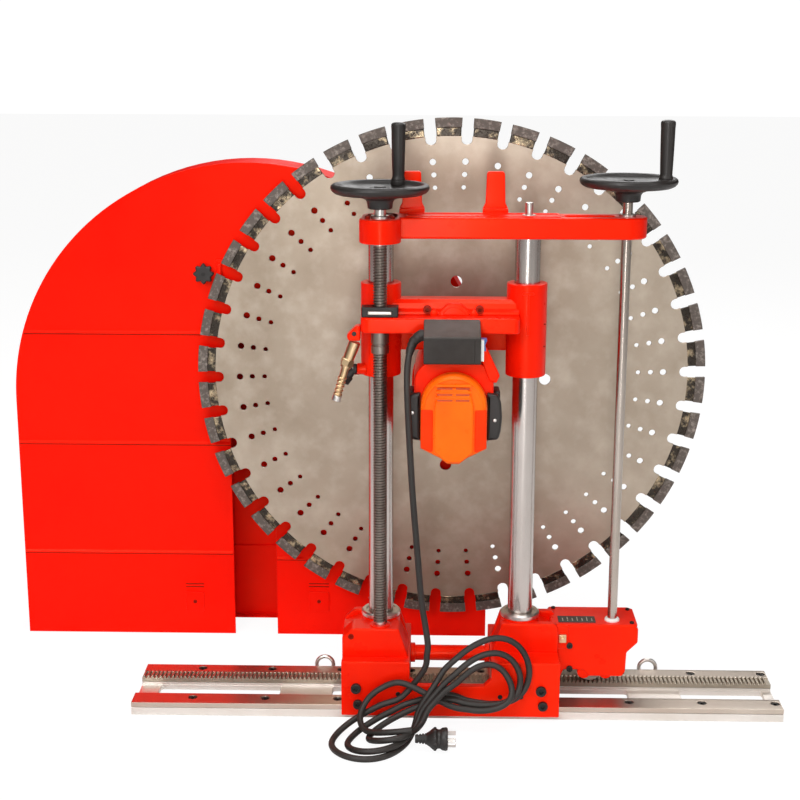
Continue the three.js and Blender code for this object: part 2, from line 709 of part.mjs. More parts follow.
add(head, 'head_casting', headCasting(), 'redPaint');
add(head, 'nut_plate', nutPlate(), 'steel');
add(head, 'lead_nut', leadNut(), 'screwSteel');
add(head, 'gear_housing', gearHousing(), 'deepRed');
add(head, 'motor_housing', motorHousing(), 'redPaint');
add(head, 'motor_end_cap', endCap(), 'orangePlastic');
add(head, 'side_cover_left', sideCover(-1), 'blackPlastic');
add(head, 'side_cover_right', sideCover(1), 'blackPlastic');
add(head, 'switch_box', switchBox(), 'blackPlastic');
add(head, 'switch_rocker', block([switchRight - 6, switchRight + 2],
  [rockerMiddle[0] - 7, rockerMiddle[0] + 7], [rockerMiddle[1] - 9, rockerMiddle[1] + 9]), 'blackPlastic');
add(head, 'cord_gland', join(
  rod('x', glandRadius + 1, [glandFoot[0], switchLeft - gap], [glandFoot[1], glandFoot[2]], 12),
  strut([glandFoot[0] - 1.5, glandFoot[1], glandFoot[2] - 1.5], glandTip, glandRadius, glandRadius - 1)),
'rubber');
const armTop = bridgeBottom + 9;
const armBottom = bridgeBottom - 12;
add(head, 'water_arm', block([flangeLeft - gap - 19, flangeLeft - gap],
  [-screwOffset - 10, -screwOffset + 10], [armBottom, armTop]), 'redPaint');
add(head, 'hose_barb', strut([flangeLeft - 12, -screwOffset, armBottom - 3.5],
  [flangeLeft - 36, -screwOffset, armBottom - 88], 6, 5), 'brass');
const leverStart = columnPlaces[0] - sleeveRadius - 5 - gap;
add(head, 'lock_lever', join(
  rod('x', 7, [leverStart - 5, leverStart], [-15, 62], 12),
  strut([leverStart - 4.8, -15, 60], [leverStart - 19, -15, 42], 5.5, 6.5)), 'blackPlastic');

// ---- motor and spindle -------------------------------------------------------------------------------
add(head, 'rotor', join(
  rod('y', rotorShaftRadius, [-motorFront - 10, 55], [0, motorAxis], 12),
  rod('y', armatureRadius - 1, [-60, 15], [0, motorAxis]),
  rod('y', rotorPinionRadius, [50, 80], [0, motorAxis], 16)), 'steel');
const outerFlange = bladePlane + bladeThickness + gap;
const outerFlangeEnd = outerFlange + outerFlangeThickness;
add(head, 'spindle', join(
  rod('y', spindleRadius, [motorBack + 8, outerFlangeEnd + gap + 1], [0, 0], 16),
  rod('y', spindleGearRadius, [motorBack + 24, motorBack + 46], [0, 0]),
  rod('y', 18, [outerFlangeEnd + gap, outerFlangeEnd + gap + 3.5], [0, 0], 6)), 'steel');

function bladeFlange(from, to) {
  return cut(rod('y', flangeRadius, [from, to], [0, 0]),
    rod('y', spindleRadius + gap, [from - 1, to + 1], [0, 0], 16));
}

function bladeDisc() {
  const half = gulletWidth / 2;
  const bottom = bladeRadius - gulletDepth + half; // centre of the gullet's round end
  const edgeAngle = Math.asin(half / bladeRadius);
  const points = [];
  for (let i = 0; i < gullets; i += 1) {
    const angle = THREE.MathUtils.degToRad(bladeTurn) + i * 2 * Math.PI / gullets;
    const radial = new THREE.Vector2(Math.cos(angle), Math.sin(angle));
    const across = new THREE.Vector2(-radial.y, radial.x);
    const at = (r, t) => radial.clone().multiplyScalar(r).addScaledVector(across, t);
    const rim = bladeRadius * Math.cos(edgeAngle);
    points.push(at(rim, -half), at(bottom, -half));
    points.push(at(bottom - half * 0.87, -half * 0.5), at(bottom - half * 0.87, half * 0.5));
    points.push(at(bottom, half), at(rim, half));
  }
  const shape = new THREE.Shape(points);
  for (let i = 0; i < 4; i += 1) {
    const angle = THREE.MathUtils.degToRad(driveHoleTurn + 90 * i);
    const hole = new THREE.Path();
    hole.absarc(driveHoleCircle * Math.cos(angle), driveHoleCircle * Math.sin(angle),
      driveHoleRadius, 0, 2 * Math.PI, true);
    shape.holes.push(hole);
  }
  const bore = new THREE.Path();
  bore.absarc(0, 0, spindleRadius + gap, 0, 2 * Math.PI, true);
  shape.holes.push(bore);
  return frontView(shape, [bladePlane, bladePlane + bladeThickness], 10);
}

add(head, 'blade_flange_inner', bladeFlange(neckEnd + 1, bladePlane - gap), 'steel');
add(head, 'blade', bladeDisc(), 'bladeSteel');
add(head, 'blade_flange_outer', bladeFlange(outerFlange, outerFlangeEnd), 'steel');

// ---- cord --------------------------------------------------------------------------------------------
// From the gland down in front of the plate, a hank on the floor against the plate, and a tail to the plug.
const onFloor = cordDiameter / 2 + gap;
const dropRoute = [
  [glandTip[0] - 0.4, glandTip[1], glandTip[2] + spindleHeight - 0.4],
  [glandTip[0] - 4, glandTip[1] - 0.3, glandTip[2] + spindleHeight - 4.2],
  [-60.5, -86, 553], [-63.5, -92, 536], [-64.3, -98, 515], [-63.5, -103, 489], [-61.5, -106, 450],
  [-59, -106, 405], [-55.5, -105, 350], [-51, -104, 295], [-46.5, -102, 240], [-42, -100, 190],
  [-37, -98.5, 158], [-33, -97.5, 127], [-31, -97, 96],
];
const hankTie = [-36, -98.5, 50]; // where the loops cross
const standingLoops = { end: [73, -95, 79], radii: [12, 39], thickness: 12, lean: [0, 0.02, 1] };
const lyingLoops = { end: [-112, -184, 17], radii: [13, 35], thickness: 13, lean: [-0.76, 0.65, 0.1] };
const plugEnd = [-50, -170, plugRadius + gap];
const tailRoute = [
  [plugEnd[0] - 0.5, plugEnd[1], plugEnd[2]], [-56, plugEnd[1], plugEnd[2]], [-66, -170.5, 16],
  [-76, -172, 14], [-86, -174, 13],
];

// A flat bundle of loops: an outline with round ends, from the tie to its far end.
function loops({ end, radii: [near, far], thickness, lean }) {
  const along = new THREE.Vector3(...end).sub(new THREE.Vector3(...hankTie));
  const length = along.length();
  const u = along.normalize();
  const upright = new THREE.Vector3(...lean);
  const v = upright.addScaledVector(u, -upright.dot(u)).normalize();
  const w = u.clone().cross(v);
  const shape = new THREE.Shape();
  shape.absarc(length, 0, far, -Math.PI / 2, Math.PI / 2, false);
  shape.absarc(0, 0, near, Math.PI / 2, 1.5 * Math.PI, false);
  return extruded(shape, thickness, 8).translate(0, 0, -thickness / 2)
    .applyMatrix4(new THREE.Matrix4().makeBasis(u, v, w)).translate(...hankTie);
}

function hank() {
  return cut(join(loops(standingLoops), loops(lyingLoops)),
    tube(dropRoute.concat([[-31, -97, 60]]), cordDiameter + 1, 40),
    tube(tailRoute.concat([[-96, -175, 13]]), cordDiameter + 1, 16));
}

function plug() {
  const [x, y, z] = plugEnd;
  return join(
    rod('x', cordDiameter / 2 + 1, [x, x + 18], [y, z], 12, 8),
    rod('x', plugRadius, [x + 17, x + 46], [y, z], 16),
    ...[[0, 9], [-8, -6], [8, -6]].map(([dy, dz]) => rod('x', 2.4, [x + 45, x + 58], [y + dy, z + dz], 8)));
}

add(carriage, 'cord_drop', tube(dropRoute, cordDiameter, 40), 'rubber');
add(carriage, 'cord_hank', hank(), 'rubber');
add(carriage, 'cord_tail', tube(tailRoute, cordDiameter, 12), 'rubber');
add(carriage, 'plug', plug(), 'blackPlastic');

export default saw;
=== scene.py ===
import math

import bmesh
import bpy
from mathutils import Matrix, Vector
from mathutils.geometry import tessellate_polygon


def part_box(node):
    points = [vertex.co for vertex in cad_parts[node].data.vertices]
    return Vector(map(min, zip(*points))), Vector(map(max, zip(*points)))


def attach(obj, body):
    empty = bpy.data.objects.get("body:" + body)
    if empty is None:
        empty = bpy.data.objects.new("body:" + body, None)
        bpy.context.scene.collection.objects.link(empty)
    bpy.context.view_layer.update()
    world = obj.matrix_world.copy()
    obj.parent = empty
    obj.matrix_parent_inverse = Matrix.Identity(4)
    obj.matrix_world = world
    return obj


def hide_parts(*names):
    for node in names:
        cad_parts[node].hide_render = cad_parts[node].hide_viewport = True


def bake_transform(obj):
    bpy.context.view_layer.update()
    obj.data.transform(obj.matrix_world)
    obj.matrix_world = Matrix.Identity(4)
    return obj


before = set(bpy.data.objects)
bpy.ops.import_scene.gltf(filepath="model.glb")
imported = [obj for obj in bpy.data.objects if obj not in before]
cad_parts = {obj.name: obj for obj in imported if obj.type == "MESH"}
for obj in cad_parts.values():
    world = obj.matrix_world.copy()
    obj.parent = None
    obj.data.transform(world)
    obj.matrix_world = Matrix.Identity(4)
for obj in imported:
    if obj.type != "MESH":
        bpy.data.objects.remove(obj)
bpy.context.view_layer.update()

mm = 0.001


# ---- outlines, in millimetres
def circle(cx, cy, radius, count=48, start=0.0):
    turns = [start + 2 * math.pi * i / count for i in range(count)]
    return [(cx + radius * math.cos(t), cy + radius * math.sin(t)) for t in turns]


def rect(x0, x1, y0, y1):
    return [(x0, y0), (x1, y0), (x1, y1), (x0, y1)]


def rounded(points, radius, count=5):
    # radius is one number, or one for each corner
    radii = radius if isinstance(radius, (list, tuple)) else [radius] * len(points)
    out = []
    for i, p in enumerate(points):
        p, before, after = Vector(p), Vector(points[i - 1]), Vector(points[(i + 1) % len(points)])
        a, b = (before - p).normalized(), (after - p).normalized()
        half = a.angle(b) / 2
        if radii[i] <= 0 or half > 1.55:
            out.append(tuple(p))
            continue
        centre = p + (a + b).normalized() * radii[i] / math.sin(half)
        start, end = p + a * radii[i] / math.tan(half) - centre, p + b * radii[i] / math.tan(half) - centre
        swing = math.atan2(start.cross(end), start.dot(end))
        for k in range(count + 1):
            out.append(tuple(centre + Matrix.Rotation(swing * k / count, 2) @ start))
    return out


def box(x0, x1, y0, y1, radius=2, count=5):
    return rounded(rect(x0, x1, y0, y1), radius, count)


def arcPoints(cx, cy, radius, start, end, count=24):
    turns = [math.radians(start + (end - start) * i / count) for i in range(count + 1)]
    return [(cx + radius * math.cos(t), cy + radius * math.sin(t)) for t in turns]


def area(loop):
    return sum(a[0] * b[1] - b[0] * a[1] for a, b in zip(loop, loop[1:] + loop[:1])) / 2


def inset(loop, distance):
    out = []
    for i, p in enumerate(loop):
        p, before, after = Vector(p), Vector(loop[i - 1]), Vector(loop[(i + 1) % len(loop)])
        e1, e2 = (p - before).normalized(), (after - p).normalized()
        n1, n2 = Vector((-e1.y, e1.x)), Vector((-e2.y, e2.x))
        out.append(tuple(p + (n1 + n2) * distance / max(0.4, 1 + n1.dot(n2))))
    return out


class Shape:
    # Gathers closed bodies in millimetres and turns them into one piece of the model.
    def __init__(self, name):
        self.name, self.verts, self.faces, self.looks, self.look = name, [], [], [], 0
        self.move = Matrix.Identity(4)

    def add(self, verts, faces):
        base = len(self.verts)
        self.verts += [self.move @ Vector(v) for v in verts]
        self.faces += [[base + i for i in face] for face in faces]
        self.looks += [self.look] * len(faces)
        return self

    def prism(self, loops, low, high, axis="y", edge=0.8, steps=2):
        # loops[0] is the outline, the others are holes; edge rounds every rim
        if not isinstance(loops[0], list):
            loops = [loops]
        loops = [loop if (area(loop) > 0) == (i == 0) else loop[::-1] for i, loop in enumerate(loops)]
        place = {"x": lambda a, b, t: (t, a, b), "y": lambda a, b, t: (a, t, b),
                 "z": lambda a, b, t: (a, b, t)}[axis]
        edge = min(edge, (high - low) / 2.01)
        turns = [math.pi / 2 * k / steps for k in range(steps + 1)] if edge > 0 else [math.pi / 2]
        levels = [(edge * (1 - math.sin(t)), low + edge * (1 - math.cos(t))) for t in turns]
        levels += [(d, low + high - h) for d, h in reversed(levels)]
        verts, faces, rings = [], [], []
        for d, h in levels:
            ring = []
            for loop in loops:
                ring.append(list(range(len(verts), len(verts) + len(loop))))
                verts += [place(a, b, h) for a, b in (inset(loop, d) if d else loop)]
            rings.append(ring)
        for lower, upper in zip(rings, rings[1:]):
            for one, other in zip(lower, upper):
                count = len(one)
                faces += [[one[i], one[(i + 1) % count], other[(i + 1) % count], other[i]]
                          for i in range(count)]
        for ring, (d, h) in ((rings[0], levels[0]), (rings[-1], levels[-1])):
            flat = [i for loop in ring for i in loop]
            flatLoops = [[Vector((*p, 0)) for p in (inset(loop, d) if d else loop)] for loop in loops]
            faces += [[flat[i] for i in triangle] for triangle in tessellate_polygon(flatLoops)]
        return self.add(verts, faces)

    def lathe(self, profile, centre=(0, 0, 0), axis="z", count=48):
        # profile is (radius, height) pairs; it closes on itself or on the axis
        place = {"x": lambda a, b, t: (t, a, b), "y": lambda a, b, t: (a, t, b),
                 "z": lambda a, b, t: (a, b, t)}[axis]
        verts, faces = [], []
        for r, h in profile:
            for i in range(count):
                turn = 2 * math.pi * i / count
                x, y, z = place(r * math.cos(turn), r * math.sin(turn), h)
                verts.append((x + centre[0], y + centre[1], z + centre[2]))
        closed = profile[0][0] > 1e-6 or profile[-1][0] > 1e-6
        rows = len(profile)
        for j in range(rows if closed else rows - 1):
            for i in range(count):
                a, b = j * count + i, j * count + (i + 1) % count
                c, d = ((j + 1) % rows) * count + (i + 1) % count, ((j + 1) % rows) * count + i
                faces.append([a, b, c, d])
        return self.add(verts, faces)

    def rod(self, axis, radius, span, at, edge=0.6, count=48, bore=0):
        low, high = span
        edge = min(edge, radius * 0.45, (high - low) * 0.45)
        soft = edge * 0.3
        profile = [(bore, low), (radius - edge, low), (radius - soft, low + soft), (radius, low + edge),
                   (radius, high - edge), (radius - soft, high - soft), (radius - edge, high), (bore, high)]
        centre = {"x": (0, at[0], at[1]), "y": (at[0], 0, at[1]), "z": (at[0], at[1], 0)}[axis]
        return self.lathe(profile, centre, axis, count)

    def sweep(self, points, radius, count=12, squash=1.0):
        points = [Vector(p) for p in points]
        radii = radius if isinstance(radius, (list, tuple)) else [radius] * len(points)
        tangents = [(points[min(i + 1, len(points) - 1)] - points[max(i - 1, 0)]).normalized()
                    for i in range(len(points))]
        side = tangents[0].orthogonal().normalized()
        verts, faces = [], []
        for p, t, r in zip(points, tangents, radii):
            side = (side - t * side.dot(t)).normalized()
            other = t.cross(side)
            for i in range(count):
                turn = 2 * math.pi * i / count
                verts.append(p + side * r * math.cos(turn) + other * r * squash * math.sin(turn))
        for j in range(len(points) - 1):
            for i in range(count):
                a, b = j * count + i, j * count + (i + 1) % count
                faces.append([a, b, b + count, a + count])
        faces += [list(range(count))[::-1], [(len(points) - 1) * count + i for i in range(count)]]
        return self.add(verts, faces)

    def strut(self, start, end, radius, endRadius=None, count=24):
        start, end = Vector(start), Vector(end)
        last = radius if endRadius is None else endRadius
        along = (end - start).normalized()
        points = [start, start + along * 0.6, end - along * 0.6, end]
        return self.sweep(points, [radius - 0.6, radius, last, last - 0.6], count)

    def socketScrew(self, axis, radius, face, at, height, out=-1, look=None):
        # a cap screw whose head stands on a face, out towards -1 or +1 of the axis
        old, self.look = self.look, self.look if look is None else look
        mouth = face + out * height
        deep = face + out * height * 0.35
        hexagon = circle(at[0], at[1], radius * 0.52, 6)
        self.prism([circle(at[0], at[1], radius, 32), hexagon[::-1]], min(deep, mouth), max(deep, mouth),
                   axis, edge=radius * 0.1)
        self.prism([circle(at[0], at[1], radius, 32)], min(face, deep + out * 0.05),
                   max(face, deep + out * 0.05), axis, edge=0)
        self.look = old
        return self

    def piece(self, looks, body, replaces=(), slot=None, sharp=32):
        mesh = bpy.data.meshes.new(self.name)
        mesh.from_pydata([v * mm for v in self.verts], [], self.faces)
        looks = looks if isinstance(looks, (list, tuple)) else [looks]
        for look in looks:
            mesh.materials.append(look)
        mesh.polygons.foreach_set("material_index", self.looks)
        bm = bmesh.new()
        bm.from_mesh(mesh)
        bmesh.ops.remove_doubles(bm, verts=bm.verts, dist=2e-6)
        bmesh.ops.recalc_face_normals(bm, faces=bm.faces)
        bm.to_mesh(mesh)
        bm.free()
        mesh.polygons.foreach_set("use_smooth", [True] * len(mesh.polygons))
        mesh.set_sharp_from_angle(angle=math.radians(sharp))
        made = bpy.data.objects.new(self.name, mesh)
        bpy.context.scene.collection.objects.link(made)
        weighted = made.modifiers.new("evenShading", "WEIGHTED_NORMAL")
        weighted.keep_sharp = True
        if body:
            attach(made, body)
        if replaces:
            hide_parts(*replaces)
        return made


# ---- camera
cameraView = {"place": (-0.0424, -2.1263, 0.9889), "down": 13.894, "left": 1.1397, "roll": 0.1647,
              "lens": 68.625}


def makeCamera():
    data = bpy.data.cameras.new("camera")
    data.lens, data.sensor_width = cameraView["lens"], 36
    camera = bpy.data.objects.new("camera", data)
    bpy.context.scene.collection.objects.link(camera)
    camera.matrix_world = (Matrix.Translation(cameraView["place"])
                           @ Matrix.Rotation(math.radians(cameraView["left"]), 4, "Z")
                           @ Matrix.Rotation(math.radians(90 - cameraView["down"]), 4, "X")
                           @ Matrix.Rotation(math.radians(cameraView["roll"]), 4, "Z"))
    bpy.context.scene.camera = camera


makeCamera()
print("camera placed")

# ---- cord: down from the gland, three turns of a hank that leans on the front plate, and a tail to the plug
cordValues = {"length": 2750.0, "diameter": 9.0, "plateFace": -88.5, "bendTop": 76.0, "floor": 5.2,
              "step": 4.0, "lieApart": 9.8, "humpReach": 64.0}
hankValues = {"tie": (-40.0, 102.0), "rightAim": -15.0, "leftAim": 131.0, "points": 18,
              # reach, half width
              "spacing": (5.0, 10.0), "right": [(152, 49), (134, 39), (116, 36)],
              "left": [(174, 48), (154, 38), (120, 31)]}
plugValues = {"axis": (-170.0, 17.3), "relief": (-59, -41), "body": (-42, -13), "radius": 15.5, "pin": 11}
dropRoute = [(-61.4, -80.3, 568.6), (-65, -80.6, 565), (-69.5, -86, 553), (-72.5, -92, 536),
             (-73.3, -98, 515),
             (-72.5, -103, 489), (-70.5, -106, 450), (-68, -106, 405), (-64.5, -105, 350), (-60, -104, 295),
             (-55.5, -102, 240), (-51, -100, 190), (-46, -98.5, 158), (-42, -97.5, 127)]
tailRoute = [(-74, 84), (-104, 90), (-128, 110), (-138, 140), (-130, 170), (-108, 190), (-82, 197.6),
             (-68, 197.6), (-59.6, 197.6)]


def onLean(x, down, off):
    # along the rail, down the plate and out over the floor, and off that surface
    v = cordValues
    radius, straight = v["bendTop"] - v["floor"], 150 - v["bendTop"]
    if down < straight:
        return Vector((x, v["plateFace"] - off, 150 - down))
    turn = (down - straight) / radius
    if turn < math.pi / 2:
        return Vector((x, v["plateFace"] - radius + (radius - off) * math.cos(turn),
                       v["bendTop"] - (radius - off) * math.sin(turn)))
    return Vector((x, v["plateFace"] - radius - (down - straight - radius * math.pi / 2), v["floor"] + off))


def smoothRoute(points, step):
    # Catmull-Rom through every point, then evened out to one step
    points = [Vector(p) for p in points]
    points = [points[0] * 2 - points[1]] + points + [points[-1] * 2 - points[-2]]
    dense = []
    for a, b, c, d in zip(points, points[1:], points[2:], points[3:]):
        for k in range(12):
            t = k / 12
            dense.append(0.5 * (2 * b + (c - a) * t + (2 * a - 5 * b + 4 * c - d) * t * t
                                + (3 * b - a - 3 * c + d) * t ** 3))
    dense.append(points[-2])
    lengths = [0]
    for a, b in zip(dense, dense[1:]):
        lengths.append(lengths[-1] + (b - a).length)
    count = round(lengths[-1] / step)
    out, j = [], 0
    for i in range(count + 1):
        goal = lengths[-1] * i / count
        while j < len(lengths) - 2 and lengths[j + 1] < goal:
            j += 1
        share = (goal - lengths[j]) / max(1e-9, lengths[j + 1] - lengths[j])
        out.append(dense[j].lerp(dense[j + 1], min(1, share)))
    return out, lengths[-1]


def hankLobe(tie, reach, half, aim, hand, spread):
    # one end of a turn: out from the tie on one side of its axis and back on the other
    v, aim = hankValues, math.radians(aim)
    points = []
    for k in range(1, v["points"]):
        turn = math.pi * k / v["points"]
        along, across = spread * reach * math.sin(turn), hand * spread * half * math.sin(2 * turn)
        points.append(Vector((tie[0] + along * math.cos(aim) - across * math.sin(aim),
                              tie[1] + along * math.sin(aim) + across * math.cos(aim), 0)))
    return points


def hankPlan(spread):
    # the whole hank laid flat: three turns, each round the left end and then the right
    v = hankValues
    points = [Vector((-43, 32, 0)), Vector((-47, 62, 0))]
    for turn, (left, right) in enumerate(zip(v["left"], v["right"])):
        tie = [at + (turn - 1) * step for at, step in zip(v["tie"], v["spacing"])]
        points += hankLobe(tie, *left, v["leftAim"], 1, spread) + hankLobe(tie, *right, v["rightAim"], -1,
                spread)
    return smoothRoute(points + [Vector((*p, 0)) for p in tailRoute], cordValues["step"])[0]


def layDown(flat):
    # the hank is a flat coil twisted once, so the passes to the right lie on the passes to the left
    v = cordValues
    apart, reach, count = v["lieApart"], int(v["humpReach"] / v["step"]), len(flat)
    hump = [math.cos(math.pi * k / (2 * reach)) ** 2 for k in range(reach)]
    rank = [(flat[min(i + 1, count - 1)].x > flat[max(i - 1, 0)].x, i) for i in range(count)]
    under = []
    for i, p in enumerate(flat):
        under.append([(j, math.sqrt(apart ** 2 - (p - flat[j]).length_squared)) for j in range(count)
                      if abs(i - j) > 12 and rank[j] < rank[i] and (p - flat[j]).length_squared
                      < apart ** 2])
    off = [0.0] * count
    plugHeight = plugValues["axis"][1] - v["floor"]
    for _ in range(30):
        need = [max([off[j] + up for j, up in below], default=0) for below in under]
        need[:3], need[-4:] = [9.0] * 3, [plugHeight] * 4
        new = [max(need[k] * hump[abs(k - i)] for k in range(max(0, i - reach + 1), min(count, i + reach)))
               for i in range(count)]
        off = [sum(new[max(0, i - 7):i + 8]) / len(new[max(0, i - 7):i + 8]) for i in range(count)]
    return [onLean(p[0], p[1], h) for p, h in zip(flat, off)]


def routeCord():
    # the cord's length is fixed, so the turns are opened or closed until they take it up
    low, high = 0.8, 1.25
    for _ in range(9):
        spread = (low + high) / 2
        path, length = smoothRoute(dropRoute + layDown(hankPlan(spread))[2::3], cordValues["step"])
        low, high = (spread, high) if length < cordValues["length"] else (low, spread)
    print("cord routed,", round(length), "mm, turns at", round(spread, 3))
    return path


cordPath = routeCord()
cordShape = Shape("cord").sweep(cordPath, cordValues["diameter"] / 2, 14)


# ---- materials
class Wire:
    # A node's output; arithmetic on it adds Math nodes.
    def __init__(self, look, socket):
        self.look, self.socket = look, socket

    def math(self, operation, first, second):
        return self.look.node("ShaderNodeMath", {"operation": operation}, {0: first, 1: second})

    def __add__(self, other): return self.math("ADD", self, other)
    def __radd__(self, other): return self.math("ADD", other, self)
    def __sub__(self, other): return self.math("SUBTRACT", self, other)
    def __rsub__(self, other): return self.math("SUBTRACT", other, self)
    def __mul__(self, other): return self.math("MULTIPLY", self, other)
    def __rmul__(self, other): return self.math("MULTIPLY", other, self)
    def __truediv__(self, other): return self.math("DIVIDE", self, other)
    def __pow__(self, other): return self.math("POWER", self, other)


class Look:
    def __init__(self, name, **constant):
        self.material = bpy.data.materials.new(name)
        self.material.use_nodes = True
        self.tree = self.material.node_tree
        self.shader = self.tree.nodes["Principled BSDF"]
        for socket, value in constant.items():
            self.shader.inputs[socket.replace("_", " ")].default_value = value

    def node(self, kind, settings=None, inputs=None, output=0):
        made = self.tree.nodes.new(kind)
        for key, value in (settings or {}).items():
            if key == "stops":
                ramp = made.color_ramp.elements
                while len(ramp) < len(value):
                    ramp.new(1)
                for stop, (position, color) in zip(ramp, value):
                    stop.position, stop.color = position, (*color, 1)
            else:
                setattr(made, key, value)
        for key, value in (inputs or {}).items():
            if isinstance(value, Wire):
                self.tree.links.new(value.socket, made.inputs[key])
            else:
                made.inputs[key].default_value = value
        return Wire(self, made.outputs[output])

    def place(self, stretch=(1, 1, 1)):
        coords = self.node("ShaderNodeTexCoord", output="Object")
        return self.node("ShaderNodeVectorMath", {"operation": "MULTIPLY"}, {0: coords, 1: stretch})

    def noise(self, scale, detail=3, stretch=(1, 1, 1), rough=0.55):
        return self.node("ShaderNodeTexNoise", {},
                         {"Vector": self.place(stretch), "Scale": scale, "Detail": detail,
                                                    "Roughness": rough}, output="Fac")

    def fade(self, value, low, high):
        return self.node("ShaderNodeMapRange", {"clamp": True},
                         {"Value": value, "From Min": low, "From Max": high})

    def mix(self, share, first, second):
        def color(c):
            return c if isinstance(c, Wire) else (*c, 1)
        return self.node("ShaderNodeMix", {"data_type": "RGBA"},
                         {0: share, 6: color(first), 7: color(second)}, output=2)

    def feed(self, **links):
        for socket, wire in links.items():
            self.tree.links.new(wire.socket, self.shader.inputs[socket.replace("_", " ")])
        return self

    def bump(self, height, strength, distance):
        normal = self.node("ShaderNodeBump", {},
                           {"Strength": strength, "Distance": distance, "Height": height})
        return self.feed(Normal=normal)


def paint(name, color, dark, gloss=0.25, coat=0.05, tint=(1, 0.32, 0.1)):
    # the tint keeps the sheen of the enamel warm, as it is on a pure red
    look = Look(name, Metallic=0, Coat_Weight=coat, Coat_Roughness=0.12, IOR=1.45, Specular_Tint=(*tint, 1))
    cloud = look.noise(6, 4)
    speck = look.fade(look.noise(420, 2), 0.66, 0.76)
    base = look.mix(look.fade(cloud, 0.3, 0.7), dark, color)
    look.feed(Base_Color=look.mix(speck * 0.25, base, tuple(c * 0.5 for c in dark)))
    look.feed(Roughness=look.fade(look.noise(18, 5), 0.3, 0.75) * 0.14 + gloss)
    look.bump(look.noise(260, 2) * 0.6 + look.noise(45, 2), 0.25, 0.0004)
    return look.material


def plastic(name, color, light, gloss=0.42, grain=900, tint=(1, 1, 1)):
    look = Look(name, Metallic=0, IOR=1.46, Specular_Tint=(*tint, 1))
    look.feed(Base_Color=look.mix(look.fade(look.noise(14, 5), 0.35, 0.75), color, light))
    look.feed(Roughness=look.fade(look.noise(60, 3), 0.3, 0.7) * 0.16 + gloss)
    look.bump(look.noise(grain, 2), 0.22, 0.0003)
    return look.material


def machined(name, color, dark, gloss=0.22, stretch=(1, 1, 1), scale=60, metal=1.0, depth=0.25):
    # stretch makes the turning or grinding marks run along one axis
    look = Look(name, Metallic=metal)
    line = look.noise(scale, 4, stretch)
    stain = look.fade(look.noise(9, 5), 0.35, 0.75)
    look.feed(Base_Color=look.mix(stain * 0.7 + line * 0.3, color, dark))
    look.feed(Roughness=line * 0.16 + stain * 0.06 + gloss)
    look.bump(line, depth, 0.0002)
    return look.material


redPaint = paint("redPaint", (0.96, 0.014, 0.0012), (0.84, 0.006, 0.001))
guardPaint = paint("guardPaint", (0.98, 0.004, 0.001), (0.86, 0.002, 0.001), 0.3, 0.02, (1, 0.25, 0.08))
orangePlastic = plastic("orangePlastic", (0.98, 0.1, 0.002), (1.0, 0.15, 0.004), 0.25, tint=(1, 0.5, 0.2))
# a darker copy of the orange plastic: painted shade for the sides of the end cap
capPaintedShade = plastic("capPaintedShade", (0.82, 0.02, 0.001), (0.9, 0.035, 0.001), 0.3, tint=(1, 0.4, 0.15))
blackPlastic = plastic("blackPlastic", (0.014, 0.012, 0.011), (0.026, 0.022, 0.02), 0.35)
# a lighter copy of the switch box's black: painted light on the box's sloping top
switchLitTop = plastic("switchLitTop", (0.05, 0.04, 0.034), (0.075, 0.062, 0.052), 0.4)
cordRubber = plastic("cordRubber", (0.016, 0.013, 0.011), (0.03, 0.025, 0.022), 0.45, 1400)
screwBlack = machined("screwBlack", (0.035, 0.032, 0.03), (0.018, 0.016, 0.015), 0.32, metal=0.6)
columnChrome = machined("columnChrome", (0.62, 0.57, 0.54), (0.5, 0.45, 0.42), 0.14, (1, 1, 0.02), 900,
                        depth=0.05)
plainSteel = machined("plainSteel", (0.62, 0.57, 0.52), (0.46, 0.41, 0.36), 0.25)
threadSteel = machined("threadSteel", (0.3, 0.26, 0.23), (0.16, 0.13, 0.11), 0.3)
railSteel = machined("railSteel", (0.68, 0.6, 0.52), (0.5, 0.41, 0.34), 0.22, (0.02, 1, 1), 500)
railAluminium = machined("railAluminium", (0.86, 0.82, 0.78), (0.7, 0.64, 0.58), 0.3, (0.02, 1, 1), 300,
                         0.85)
brass = machined("brass", (0.78, 0.58, 0.36), (0.6, 0.4, 0.2), 0.22)
silver = machined("silver", (0.78, 0.75, 0.72), (0.62, 0.58, 0.54), 0.2, depth=0.06)
boxPlastic = plastic("boxPlastic", (0.016, 0.012, 0.01), (0.03, 0.024, 0.02), 0.58)
whiteLabel = plastic("whiteLabel", (0.75, 0.75, 0.73), (0.82, 0.82, 0.8), 0.4)
bluePlastic = plastic("bluePlastic", (0.03, 0.12, 0.4), (0.05, 0.17, 0.5), 0.3)

# a darker copy of the red paint: painted shade for the strip under each fold, the slits and grooves, and the
# sockets of red bolts
redPaintedShade = paint("redPaintedShade", (0.3, 0.004, 0.003), (0.16, 0.003, 0.002), 0.35)
# a darker copy of the orange plastic: painted shade in the louvre slots
ventPaintedShade = plastic("ventPaintedShade", (0.5, 0.045, 0.002), (0.42, 0.035, 0.002), 0.4)
plateBlack = plastic("plateBlack", (0.03, 0.028, 0.026), (0.06, 0.055, 0.05), 0.3)
rackSteel = machined("rackSteel", (0.5, 0.44, 0.36), (0.26, 0.22, 0.17), 0.3, metal=0.9)
shaftSteel = machined("shaftSteel", (0.56, 0.5, 0.45), (0.42, 0.36, 0.31), 0.14, (1, 1, 0.02), 900,
                      depth=0.05)


